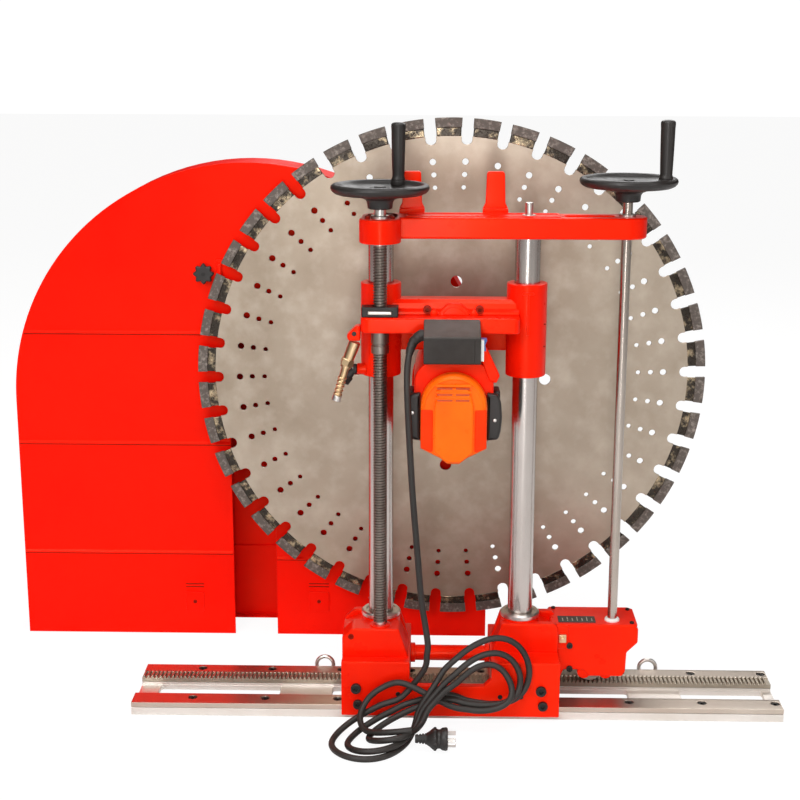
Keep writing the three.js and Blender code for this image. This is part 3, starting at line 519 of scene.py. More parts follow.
def bladeLook():
    look = Look("bladeSteel", Metallic=0.9)
    centre = look.node("ShaderNodeVectorMath", {"operation": "SUBTRACT"},
                       {0: look.node("ShaderNodeTexCoord", output="Object"), 1: (-0.009, 0.222, 0.45)})
    radius = look.node("ShaderNodeVectorMath", {"operation": "LENGTH"}, {0: centre}, output="Value")
    rings = look.node("ShaderNodeTexNoise", {"noise_dimensions": "1D"},
                      {"W": radius, "Scale": 900, "Detail": 3}, output="Fac")
    stain = look.fade(look.noise(7, 6), 0.3, 0.75)
    tone = look.mix(stain, (0.45, 0.38, 0.305), (0.3, 0.24, 0.18))
    # darker and browner towards the flanges: painted shade, the shadow of the head and motor over the
    # blade's middle
    tone = look.mix(look.fade(radius, 0.34, 0.04) * 0.55, tone, (0.22, 0.175, 0.135))
    look.feed(Base_Color=look.mix(look.fade(look.noise(30, 5), 0.45, 0.8) * 0.35, tone, (0.6, 0.53, 0.45)))
    look.feed(Roughness=rings * 0.14 + stain * 0.08 + 0.3)
    look.bump(rings, 0.2, 0.0002)
    return look.material


def segmentLook(name, dark, light, gloss, scale):
    # ground diamond matrix: dark, with lighter streaks that are partly the metal showing through and partly
    # painted glints
    look = Look(name, Metallic=0.75)
    streakAndGlint = look.fade(look.noise(scale, 5, (1, 1, 1), 0.65), 0.5, 0.68)
    look.feed(Base_Color=look.mix(streakAndGlint, dark, light))
    look.feed(Roughness=look.noise(scale * 1.7, 3) * 0.2 + gloss)
    look.bump(look.noise(scale * 2.2, 4), 0.6, 0.0006)
    return look.material


bladeSteel = bladeLook()
segmentDark = segmentLook("segmentDark", (0.04, 0.032, 0.025), (0.5, 0.39, 0.25), 0.16, 55)
segmentGrey = segmentLook("segmentGrey", (0.12, 0.1, 0.088), (0.3, 0.26, 0.23), 0.42, 170)
print("materials mixed")

cord = cordShape.piece(cordRubber, None, ["cord_drop", "cord_hank", "cord_tail"], "rubber")
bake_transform(cord)


# ---- plug on the cord's end


def makePlug():
    v, shape = plugValues, Shape("plugMoulded")
    y, z = v["axis"]
    start, end = v["relief"]
    ribs = [(0, start), (5.4, start)]
    for i in range(4):  # strain relief rings
        at = start + 2 + i * 4
        ribs += [(6.2 + i * 0.5, at), (6.2 + i * 0.5, at + 2.4), (5.2 + i * 0.5, at + 2.6),
                 (5.2 + i * 0.5, at + 3.8)]
    ribs += [(7.5, end), (0, end)]
    shape.lathe(ribs, (0, y, z), "x", 28)
    a, b = v["body"]
    r = v["radius"]
    body = [(0, a - 1), (8, a - 1), (r - 5, a + 3), (r - 0.8, a + 8), (r, a + 12), (r - 2.2, a + 15),
            (r - 2.2, a + 18), (r, a + 21), (r + 0.8, b - 3), (r, b - 0.8), (r - 2, b), (0, b)]
    shape.lathe(body, (0, y, z), "x", 40)
    for i in range(10):  # finger grip
        turn = 2 * math.pi * i / 10
        shape.strut((a + 9, y + (r - 0.6) * math.cos(turn), z + (r - 0.6) * math.sin(turn)),
                    (a + 13, y + (r - 0.2) * math.cos(turn), z + (r - 0.2) * math.sin(turn)), 1.6, 1.4, 8)
    shape.look = 1
    for dy, dz, tilt in ((0, 9, 0), (-8, -6, 0.5), (8, -6, -0.5)):
        shape.move = Matrix.Translation((0, y + dy, z + dz)) @ Matrix.Rotation(tilt, 4, "X")
        shape.prism(box(b - 1, b + v["pin"], -0.8, 0.8, 0.5), -3.1, 3.1, "z", 0.3)
    shape.move = Matrix.Identity(4)
    return shape.piece([blackPlastic, silver], "carriage", ["plug"], "black_plastic")


plug = makePlug()


def corners(node):
    # a CAD node's lowest and highest corners, in millimetres
    low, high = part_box(node)
    return [v / mm for v in low], [v / mm for v in high]


def middle(node):
    low, high = corners(node)
    return [(a + b) / 2 for a, b in zip(low, high)]


# ---- rail: the channel with its windows, two guide bars, the rack and the lifting rings
railValues = {"web": 8.0, "frontLedge": 34.0, "windowLength": 183.0, "windowWidth": 30.0,
              "windowPitch": 262.0,
              "firstWindow": 121.0, "endWall": 14.0, "screwPitch": 107.2, "firstScrew": 88.0,
              "frontRow": 20.0, "rearRow": 13.0, "screwRadius": 5.6, "tooth": 6.283, "toothDepth": 4.0}


def makeRail():
    v = railValues
    (x0, y0, z0), (x1, y1, top) = corners("rail_channel")
    rackFront = corners("rack")[0][1]
    half, windows, at = v["windowLength"] / 2, [], x0 + v["firstWindow"]
    while at - half < x1 - v["endWall"]:
        end = min(at + half, x1 - v["endWall"])
        windows.append(box(at - half, end, rackFront - 1 - v["windowWidth"], rackFront - 1, 4))
        at += v["windowPitch"]
    shape = Shape("railChannel")
    shape.prism([rect(x0, x1, y0 + 4, y1 - 4)] + windows, z0, v["web"], "z", 0.8)
    shape.prism(rect(x0, x1, y0, y0 + v["frontLedge"]), z0, top, "z", 0.9)
    shape.prism(rect(x0, x1, rackFront, y1), z0, top, "z", 0.9)
    shape.piece(railAluminium, "rail", ["rail_channel"], "aluminium")
    screws, at = [], x0 + v["firstScrew"]
    while at < x1:
        screws.append(at)
        at += v["screwPitch"]
    for side, row in (("front", y0 + v["frontRow"]), ("rear", y1 - v["rearRow"])):
        (bx0, by0, bz0), (bx1, by1, bz1) = corners(f"guide_bar_{side}")
        shape = Shape(f"guideBar_{side}")
        shape.prism([rect(bx0, bx1, by0, by1)]
                    + [circle(x, row, v["screwRadius"] + 0.9, 28) for x in screws],
                    bz0, bz1, "z", 0.7)
        shape.look = 1
        for x in screws:
            shape.socketScrew("z", v["screwRadius"], bz0 + 0.2, (x, row), bz1 - bz0 - 1.4, out=1)
        shape.piece([railSteel, screwBlack], "rail", [f"guide_bar_{side}"], "steel")


def makeRack():
    v, shape = railValues, Shape("rackToothed")
    (x0, y0, z0), (x1, y1, z1) = corners("rack")
    pitch, tip, root = v["tooth"], z1 + 0.5, z1 + 0.5 - v["toothDepth"]
    points = [(x0, z0), (x1, z0), (x1, root)]
    for k in reversed(range(int((x1 - x0) / pitch))):
        at = x0 + k * pitch
        points += [(at + pitch * 0.84, root), (at + pitch * 0.66, tip), (at + pitch * 0.34, tip),
                   (at + pitch * 0.16, root)]
    shape.prism(points + [(x0, root)], y0, y1, "y", 0.2, 1)
    shape.piece(rackSteel, "rail", ["rack"], "steel", 25)


def makeRings():
    for side in ("left", "right"):
        (x0, y0, z0), (x1, y1, z1) = corners(f"rail_ring_{side}")
        wire, x = 3.0, (x0 + x1) / 2
        ring = (x1 - x0) / 2 - wire
        z, y = z1 - ring - wire, y1 - wire
        shape = Shape(f"railRing_{side}")
        turns = [2 * math.pi * k / 14 for k in range(14)]
        shape.lathe([(ring + wire * math.cos(t), wire * math.sin(t)) for t in turns], (x, y, z), "y", 44)
        shape.rod("y", wire, (y0, y + 1), (x, z - ring), 0.5, 20)
        shape.rod("y", wire + 2.2, (y0, y0 + 3), (x, z - ring), 0.6, 6)
        shape.piece(silver, "rail", [f"rail_ring_{side}"], "chrome")


makeRail()
makeRack()
makeRings()
print("rail laid")

# ---- guard: a wrapped strip, a back sheet and the two front sheets with the slot between them
guardValues = {"radius": 380.0, "spring": 399.0, "centre": -327.0, "sheet": 3.0, "slot": 35.0,
               "foldsLeft": (328.0, 142.0), "foldsRight": (328.0, 133.0),
               "tabs": ((-428.0, 57.5, 15.0), (-222.5, 59.5, 16.5)), "slotRib": 127.0}


def guardArch(radius, start, end, count=56):
    v = guardValues
    return arcPoints(v["centre"], v["spring"], radius, start, end, count)


def makeGuardShell():
    v, shape = guardValues, Shape("guardWrap")
    (x0, y0, z0), (x1, y1, z1) = corners("guard_shell")
    outer, inner = v["radius"], v["radius"] - v["sheet"]
    strip = [(x1, z0)] + guardArch(outer, 0, 180) + [(x0, z0), (x0 + v["sheet"], z0)]
    strip += guardArch(inner, 180, 0) + [(x1 - v["sheet"], z0)]
    shape.prism(strip, y0 - 0.2, y1, "y", 0.6)
    back = [(x1 - v["sheet"] - 0.2, z0 + 1)] + guardArch(inner - 0.2, 0,
                                                         180) + [(x0 + v["sheet"] + 0.2, z0 + 1)]
    shape.prism(back, y1 - v["sheet"], y1 - 0.4, "y", 0.3, 1)
    left, right = v["centre"] - v["slot"] - 14, v["centre"] + v["slot"] + 14
    foldProfile = [(y1 - 3.2, v["slotRib"] - 2), (y1 - 5.6, v["slotRib"] - 1.2),
                   (y1 - 5.6, v["slotRib"] + 1), (y1 - 3.2, v["slotRib"] + 3)]
    shape.prism(foldProfile, x0 + 4, x1 - 4, "x", 0.4, 1)
    shape.prism([(y1 - 3.2, 2), (y1 - 17, 2), (y1 - 17, 4.5), (y1 - 3.2, 4.5)], left, right, "x", 0.5)
    shape.piece(guardPaint, "rail", ["guard_shell"], "red_paint")


def foldedRib(shape, z, x0, x1, face):
    # a folded seam: an upper face that catches the light, over a dark red strip of painted shade where the
    # fold's shadow falls
    shape.prism([(face + 0.4, z - 2), (face - 2.2, z - 1.4), (face - 2.2, z + 0.2), (face + 0.4, z + 4)],
                x0, x1, "x", 0.2, 1)
    shape.look = 1
    shape.prism([(face + 0.2, z - 3.2), (face - 0.4, z - 3.2), (face - 0.4, z - 1.9),
                 (face + 0.2, z - 1.9)], x0, x1, "x", 0.1, 1)
    shape.look = 0


def archReach(z):
    v = guardValues
    return v["radius"] if z < v["spring"] else math.sqrt(v["radius"] ** 2 - (z - v["spring"]) ** 2)


def makeGuardFront(name, side):
    v, shape = guardValues, Shape(f"guardFront_{name}")
    (x0, y0, z0), (x1, y1, z1) = corners(f"guard_front_{name}")
    slot, edge = (x0, x1) if side > 0 else (x1, x0)
    topTurn = math.degrees(math.asin((z1 - v["spring"]) / v["radius"]))
    arch = guardArch(v["radius"], 0, topTurn, 10) if side > 0 else guardArch(v["radius"], 180,
            180 - topTurn, 10)
    shape.prism([(slot, z0), (edge, z0)] + arch + [(slot, z1)], y0, y1, "y", 0.7)
    for z in v["foldsRight" if side > 0 else "foldsLeft"]:
        foldedRib(shape, z, x0 + 1.2, x1 - 1.2, y0)
    x, z, half = v["tabs"][0 if side < 0 else 1]
    shape.prism([box(x - half, x + half, z - 18, z + 16, 1.5), circle(x, z - 1, 3.2, 20)], y0 - 2.2,
                y0 + 0.3, "y", 0.5)
    # painted shade: the tab's screw and the two slits above the tab in the darker red
    shape.look = 1
    shape.socketScrew("y", 2.9, y0 - 0.2, (x, z - 1), 1.4)
    for k in range(2):
        shape.prism(box(x - half, x + half, z + 24 + 5 * k, z + 25.6 + 5 * k, 0.5), y0 - 0.3, y0 + 0.4,
                    "y", 0.1, 1)
    shape.piece([guardPaint, redPaintedShade], "rail", [f"guard_front_{name}"], "red_paint")


def makeGuardCrown():
    v, shape = guardValues, Shape("guardFront_crown")
    (x0, y0, z0), (x1, y1, z1) = corners("guard_front_crown")
    start = math.degrees(math.asin((z0 - v["spring"]) / v["radius"]))
    shape.prism(guardArch(v["radius"], start, 180 - start, 64), y0, y1, "y", 0.7)
    reach = archReach(z0 + 3) - 2
    foldedRib(shape, z0 + 2.4, v["centre"] - reach, v["centre"] + reach, y0)
    shape.piece([guardPaint, redPaintedShade], "rail", ["guard_front_crown"], "red_paint")


knobValues = {"lobes": 8, "lobeDepth": 1.9, "neck": 9.0}


def makeKnob():
    v, shape = knobValues, Shape("guardKnob")
    (x0, y0, z0), (x1, y1, z1) = corners("guard_knob")
    x, _, z = middle("guard_knob")
    radius = (x1 - x0) / 2 - v["lobeDepth"]
    turns = [2 * math.pi * k / 96 for k in range(96)]
    star = [(x + (radius + v["lobeDepth"] * math.cos(v["lobes"] * t)) * math.cos(t),
             z + (radius + v["lobeDepth"] * math.cos(v["lobes"] * t)) * math.sin(t)) for t in turns]
    shape.prism(star, y0, y1 - 3, "y", 2.4, 4)
    shape.rod("y", v["neck"], (y1 - 3.5, y1), (x, z), 0.6, 32)
    shape.look = 1
    shape.rod("y", 3.4, (y0 - 0.3, y0 + 1), (x, z), 0.3, 24)
    shape.piece([blackPlastic, screwBlack], "guard_knob", ["guard_knob"], "black_plastic")


def makeLatch():
    shape = Shape("guardLatch")
    (x0, y0, z0), (x1, y1, z1) = corners("guard_latch")
    shape.prism(box(x0, x1, z0, z1, 1.5), y0 + 4, y1, "y", 1)
    shape.prism(box(x0 + 1, x1 - 1, z0 + 6, z1 - 6, 1.5), y0, y0 + 5, "y", 1.4)
    shape.piece(guardPaint, "rail", ["guard_latch"], "red_paint")


makeGuardShell()
makeGuardFront("left", -1)
makeGuardFront("right", 1)
makeGuardCrown()
makeKnob()
makeLatch()
print("guard hung")

# ---- carriage: front plate, towers, cross tube and rollers
carriageValues = {"mouth": 59.0, "mouthBottom": 57.0, "chamfer": 11.0,
                  "bolts": ((-145.7, 52.9), (122.0, 51.5)),
                  "boltRadius": 7.5, "screws": ((-119.6, 43.8), (-84.8, 44.2), (63.0, 41.4), (93.4, 41.7)),
                  "screwRadius": 3.4}


def makeFrontPlate():
    v, shape = carriageValues, Shape("frontPlate")
    (x0, y0, z0), (x1, y1, z1) = corners("front_plate")
    x = (x0 + x1) / 2
    left, right, c = x - v["mouth"], x + v["mouth"], v["chamfer"]
    outline = [(x0, z0), (x1, z0), (x1, z1), (right, z1), (right, v["mouthBottom"] + c),
               (right - c, v["mouthBottom"]),
               (left + c, v["mouthBottom"]), (left, v["mouthBottom"] + c), (left, z1), (x0, z1)]
    outline = rounded(outline, [1.5, 1.5, 2, 2, 3, 3, 3, 3, 2, 2], 3)
    rollerAt = [middle(f"roller_front_{side}") for side in ("left", "right")]
    holes = [circle(p[0], p[2] , 4.3, 24) for p in rollerAt]
    shape.prism([outline] + holes, y0, y1, "y", 1.2, 3)
    shape.look = 1
    for at in v["bolts"]:
        shape.socketScrew("y", v["boltRadius"], y0, at, 5.5)
    for at in v["screws"]:
        shape.socketScrew("y", v["screwRadius"], y0, at, 1.6)
    shape.piece([redPaint, screwBlack], "carriage", ["front_plate"], "red_paint")


towerValues = {"deck": (42.0, 90.0), "skirt": 6.0, "bore": 18.3, "slope": 13.0,
               "front": {"left": -57.0, "right": -33.0}}


def makeTower(name, side):
    v, shape = towerValues, Shape(f"tower_{name}Cast")
    (x0, y0, z0), (x1, y1, z1) = corners(f"tower_{name}")
    column = middle(f"column_{name}")
    low, deck = v["deck"]
    inner, outer = (x1, x0) if side < 0 else (x0, x1)
    shape.prism(box(x0, x1, y0, y1 - v["skirt"] + 0.5, 2.5, 3), low, deck, "z", 1.4, 3)
    shape.prism(box(x0, x1, y1 - v["skirt"], y1, 1.2, 2), z0, deck, "z", 1.2)
    shape.lathe([(v["bore"], deck - 2), (28.7, deck - 2), (28.7, z1 - 1.5), (28.2, z1 - 0.5), (27.2, z1),
                 (v["bore"], z1)], (column[0], column[1], 0), "z", 64)
    near, front = column[0] - side * 27.5, v["front"][name]
    shoulder = column[0] + side * (27.5 if side < 0 else 40)
    face = [(inner + side * 1.5, deck - 3), (outer, deck - 3), (outer, z1 - 16),
            (shoulder + side * 12, z1 - 2), (near, z1 - 2)]
    shape.prism(rounded(face, [2, 2, 5, 7, 4], 4), front, -19.5, "y", 2.2, 4)
    shape.prism(rounded(face, [2, 2, 5, 7, 4], 4), 19.5, 31, "y", 2.2, 4)
    shape.prism([(outer, deck - 3), (outer, z1 - 18), (column[0] + side * 19.5, z1 - 4),
                 (column[0] + side * 19.5, deck - 3)], -20.5, 20.5, "y", 0)
    shape.prism([(inner + side * 1.5, deck - 3), (near + side * 4, z1 - 6),
                 (column[0] - side * 19.5, z1 - 6),
                 (column[0] - side * 19.5, deck - 3)], -20.5, 20.5, "y", 0)
    if side < 0:
        screw = middle("lead_screw")
        shape.rod("z", 15, (z1 - 4, z1), (screw[0], screw[1]), 1, 48, 8.4)
        # painted shade: the screw on the tower front in the darker red
        shape.look = 1
        shape.socketScrew("y", 4, front, (outer + 13, z1 - 14), 2)
    shape.piece([redPaint, redPaintedShade], "carriage", [f"tower_{name}"], "red_paint")


def makeCrossTube():
    shape = Shape("crossTubeTurned")
    (x0, y0, z0), (x1, y1, z1) = corners("cross_tube")
    y, z, radius = (y0 + y1) / 2, (z0 + z1) / 2, (z1 - z0) / 2
    shape.rod("x", radius, (x0, x1), (y, z), 0.6, 48)
    for a in (x0, x1 - 7):
        shape.rod("x", radius + 3, (a, a + 7), (y, z), 1.2, 48)
    shape.piece(redPaint, "carriage", ["cross_tube"], "red_paint")


def makeRoller(row, side):
    name = f"roller_{row}_{side}"
    shape = Shape(f"{name}_turned")
    (x0, y0, z0), (x1, y1, z1) = corners(name)
    x, _, z = middle(name)
    wheel = (y0 + 19.3 + 5, y0 + 19.3 + 27) if row == "front" else (y0, y0 + 22)
    profile = [(0, wheel[0]), (6, wheel[0]), (7.4, wheel[0] + 0.6), (8, wheel[0] + 1.4), (8, wheel[0] + 8),
               (7.5, wheel[0] + 8.6),
               (7.5, wheel[1] - 8.6), (8, wheel[1] - 8), (8, wheel[1] - 1.4), (7.4, wheel[1] - 0.6),
               (6, wheel[1]), (0, wheel[1])]
    shape.lathe(profile, (x, 0, z), "y", 40)
    shape.rod("y", 4, (y0 + 4.5, wheel[0] + 1) if row == "front" else (wheel[1] - 1, y1), (x, z), 0.5, 28)
    shape.look = 1
    if row == "front":
        shape.socketScrew("y", 7.0, y0 + 5, (x, z), 5)
    shape.piece([plainSteel, screwBlack], name, [name], "steel")


makeFrontPlate()
makeTower("left", -1)
makeTower("right", 1)
makeCrossTube()
for row in ("front", "rear"):
    for side in ("left", "right"):
        makeRoller(row, side)

columnValues = {"chamfer": 1.5, "collarBore": 18.3}


def makeColumn(side):
    v = columnValues
    (x0, y0, z0), (x1, y1, z1) = corners(f"column_{side}")
    at = ((x0 + x1) / 2, (y0 + y1) / 2)
    shape = Shape(f"column_{side}Ground")
    shape.rod("z", (x1 - x0) / 2, (z0, z1), at, v["chamfer"], 72)
    shape.piece(columnChrome, "carriage", [f"column_{side}"], "chrome")
    (x0, _, z0), (x1, _, z1) = corners(f"column_collar_{side}")
    r = (x1 - x0) / 2
    shape = Shape(f"columnCollar_{side}")
    shape.lathe([(v["collarBore"], z0), (r - 0.8, z0), (r, z0 + 0.8), (r, z1 - 2.2), (r - 2.2, z1),
                 (v["collarBore"] + 3.4, z1), (v["collarBore"] + 2.6, z1 - 1.6),
                 (v["collarBore"], z1 - 1.6)], (*at, 0), "z", 72)
    shape.piece(silver, "carriage", [f"column_collar_{side}"], "chrome")


makeColumn("left")
makeColumn("right")
print("carriage assembled")

# ---- crosshead
crossheadValues = {"bar": (699.0, 729.0), "front": -30.0, "back": 24.0, "bossRadius": 29.0,
                   "bossShift": 4.0, "lugs": (-69.0, 48.5), "lugHalf": 14.0, "lugFoot": 18.0,
                   "pocket": (144.0, 214.0, -15.0, 9.0), "stud": 5.5, "studTop": 748.0}


def makeCrosshead():
    v, shape = crossheadValues, Shape("crossheadCast")
    (x0, y0, z0), (x1, y1, z1) = corners("crosshead")
    low, top = v["bar"]
    left, right = middle("column_left"), middle("column_right")
    screw, shaft = middle("lead_screw"), middle("feed_shaft")
    endRadius = (v["back"] - v["front"]) / 2
    endY = (v["back"] + v["front"]) / 2
    plan = [(left[0] - 8, v["front"]), (shaft[0], v["front"])] + arcPoints(shaft[0], endY, endRadius, -84,
            84, 20)
    plan += [(shaft[0], v["back"]), (left[0] - 8, v["back"])]
    pocket = box(*v["pocket"], 7)
    bore = circle(shaft[0], shaft[1], 7.6, 32)
    shape.prism([plan, pocket, bore], low, top, "z", 3.2, 5)
    shape.prism(inset(pocket, -1.5), low + 1, top - 6, "z", 0)
    rib = [(left[0] + 34, v["front"] + 6), (v["pocket"][0] - 6, v["front"] + 6),
           (v["pocket"][0] - 6, v["back"] - 7), (left[0] + 34, v["back"] - 7)]
    shape.prism([rounded(rib, 5), rounded([(x, y) for x, y in inset(rib, 3.5)], 3)], top - 2, top + 1.6,
                "z", 1.2)
    shape.lathe([(8.4, z0), (v["bossRadius"] - 2, z0), (v["bossRadius"] - 0.6, z0 + 0.6),
                 (v["bossRadius"], z0 + 2), (v["bossRadius"], top - 3.5), (v["bossRadius"] - 1, top - 1),
                 (v["bossRadius"] - 3.5, top), (8.4, top)],
                (screw[0], screw[1] + v["bossShift"], 0), "z", 72)
    shape.rod("z", 26.7, (low, top), (left[0], left[1]), 3, 64)
    shape.prism([(left[0] - 26, -36), (left[0] + 26, -36), (left[0] + 26, 0), (left[0] - 26, 0)], low, top,
                "z", 2.4, 4)
    for x in v["lugs"]:
        half, foot = v["lugHalf"], v["lugFoot"]
        lug = [(x - foot, low + 6), (x + foot, low + 6), (x + foot, top + 6), (x + half, top + 14),
               (x + half - 1.5, z1), (x - half + 1.5, z1), (x - half, top + 14), (x - foot, top + 6)]
        shape.prism(rounded(lug, [2, 2, 3, 5, 4, 4, 5, 3], 4), v["back"], y1, "y", 1.6, 3)
        shape.prism(box(x - foot, x + foot, v["back"] - 6, y1 - 3, 2), low + 6, top + 7, "z", 2, 3)
    shape.look = 1
    shape.rod("z", v["stud"], (top - 1, v["studTop"]), (right[0], right[1] - 6), 1.2, 32)
    shape.rod("z", v["stud"] + 4, (top - 1, top + 2), (right[0], right[1] - 6), 0.5, 36)
    for dx, dy in ((-17, -8), (17, -8), (-14, 14), (14, 14)):  # bearing cap screws round the lead screw
        # painted shade: these screws in the darker red
        shape.look = 2
        shape.socketScrew("z", 3.6, top, (screw[0] + dx, screw[1] + 4 + dy), 3.6, out=1)
    shape.look = 1
    shape.lathe([(8.3, top - 1), (13, top - 1), (13, top + 3), (12, top + 4), (8.3, top + 4)],
                (screw[0], screw[1], 0), "z", 48)
    shape.lathe([(7.4, top - 1), (12, top - 1), (12, top + 2.4), (11, top + 3.2), (7.4, top + 3.2)],
                (shaft[0], shaft[1], 0), "z", 48)
    shape.piece([redPaint, silver, redPaintedShade], "carriage", ["crosshead"], "red_paint")


# ---- lift screw, cranks and feed shaft
screwValues = {"lead": 4.0, "root": 8.1, "thread": (137.0, 694.0), "journal": 8.0}


def makeLeadScrew():
    v, shape = screwValues, Shape("leadScrewThreaded")
    (x0, y0, z0), (x1, y1, z1) = corners("lead_screw")
    x, y, _ = middle("lead_screw")
    crest, root, lead = (x1 - x0) / 2, v["root"], v["lead"]
    section = [(root, 0.0), (root, 0.3), (crest - 0.25, 0.3 + lead * 0.14), (crest, 0.3 + lead * 0.2),
               (crest, lead * 0.62), (crest - 0.25, lead * 0.66), (root, lead * 0.84)]
    low, high = v["thread"]
    count, rows = 36, []
    for k in range(int((high - low - lead) / lead)):
        rows += [(r, low + k * lead + h) for r, h in section]
    per, verts, faces = len(section), [], []
    for r, h in rows:
        for i in range(count):
            turn = 2 * math.pi * i / count
            verts.append((x + r * math.cos(turn), y + r * math.sin(turn), h + lead * i / count))
    for j in range(len(rows) - 1):
        for i in range(count):
            if i < count - 1:
                faces.append([j * count + i, j * count + i + 1, (j + 1) * count + i + 1,
                              (j + 1) * count + i])
            elif j + 1 + per < len(rows):
                faces.append([j * count + i, (j + per) * count, (j + 1 + per) * count, (j + 1) * count + i])
    shape.add(verts, faces)
    shape.look = 1
    shape.rod("z", v["journal"], (z0, low + 4), (x, y), 0.8, 44)
    shape.rod("z", v["journal"], (high - 4, z1), (x, y), 0.8, 44)
    shape.rod("z", v["root"] - 0.15, (low + 2, high - 2), (x, y), 0.2, 32)
    shape.piece([threadSteel, silver], "lift_screw", ["lead_screw"], "screw_steel", 28)


wheelValues = {"rim": 68.0, "hubTurn": 17.0, "grip": (8.4, 9.8)}


def makeCrank(name, body, bore):
    v, shape = wheelValues, Shape(f"{name}Handwheel")
    x, y, _ = middle(f"{name}_handwheel")
    z = corners(f"{name}_handwheel")[0][2] + 27
    rim, hub = v["rim"], v["hubTurn"]
    profile = [(bore, -27), (hub - 1.5, -27), (hub, -25.8), (hub + 0.8, -18), (hub + 3, -14.5),
               (27, -11.6), (38, -9.6), (52, -7.8),
               (59, -7), (64, -4.8), (67, -1.6), (rim, 1.6), (67.2, 4.4), (65, 6.3), (62, 7.1), (59, 6.3),
               (57, 4.4),
               (54, 2), (50, 0.4), (40, -1.8), (27, -3.6), (19, -4.4), (16, -3.6), (14.6, -1), (14, 1.2),
               (12.6, 2), (bore, 2)]
    shape.lathe(profile, (x, y, z), "z", 96)
    gx, gy, _ = middle(f"{name}_grip")
    shape.lathe([(0, z), (9.6, z), (10.4, z + 1.5), (10.2, z + 6.2), (9.2, z + 7.1), (0, z + 7.1)],
                (gx, gy, 0), "z", 40)
    shape.look = 1
    shape.rod("z", bore - 0.1, (z - 3, z + 3.4), (x, y), 0.9, 36)
    shape.piece([blackPlastic, screwBlack], body, [f"{name}_handwheel"], "black_plastic")
    (x0, y0, z0), (x1, y1, z1) = corners(f"{name}_grip")
    small, large = v["grip"]
    shape = Shape(f"{name}GripTurned")
    height = z1 - z0
    profile = [(0, z0), (small + 1.2, z0), (small + 1.4, z0 + 1.6), (small + 0.6, z0 + 3.4),
               (small, z0 + 6)]
    for k in range(1, 12):
        t = k / 12
        profile.append((small + (large - small) * (1 - (1 - t) ** 1.6), z0 + 6 + (height - 12) * t))
    profile += [(large + 0.4, z1 - 5), (large + 0.1, z1 - 2.4), (large - 1.4, z1 - 0.8), (large - 3.6, z1),
                (4.4, z1), (3.8, z1 - 0.9), (0, z1 - 0.9)]
    shape.lathe(profile, (gx, gy, 0), "z", 48)
    shape.piece(blackPlastic, f"{name}_grip", [f"{name}_grip"], "black_plastic")


feedValues = {"shaft": 7.0, "sealHeight": 128.0, "wormLead": 6.28}


def makeFeedShaft():
    v, shape = feedValues, Shape("feedShaftGround")
    (x0, y0, z0), (x1, y1, z1) = corners("feed_shaft")
    x, y, _ = middle("feed_shaft")
    shape.rod("z", v["shaft"], (z0, z1), (x, y), 0.8, 48)
    turns = [(x + 7.3 * math.cos(2 * math.pi * k / 16), y + 7.3 * math.sin(2 * math.pi * k / 16),
              z0 + 8 + v["wormLead"] * k / 16) for k in range(72)]
    shape.sweep(turns, 1.1, 8)
    shape.look = 1
    seal = v["sealHeight"]
    shape.lathe([(7, seal + 0.4), (11, seal + 0.4), (11, seal + 3), (10, seal + 4.4), (7.6, seal + 5.2),
                 (7, seal + 5.2)], (x, y, 0), "z", 40)
    shape.piece([shaftSteel, whiteLabel], "feed_shaft", ["feed_shaft"], "steel")


makeCrosshead()
makeLeadScrew()
makeCrank("lift", "lift_screw", 8.3)
makeCrank("feed", "feed_shaft", 7.3)
makeFeedShaft()
print("cranks fitted")

# ---- feed gearbox
gearboxValues = {"deck": 91.0, "sideBolts": ((167.2, 96.2), (168.2, 59.4)), "boltRadius": 4.6,
                 "fitting": (151.0, 162.0, 102.0, 115.0), "plate": (151.0, 206.0, -12.0, 12.0),
                 "lobes": ((190.0, 10.0), (222.0, 10.0))}


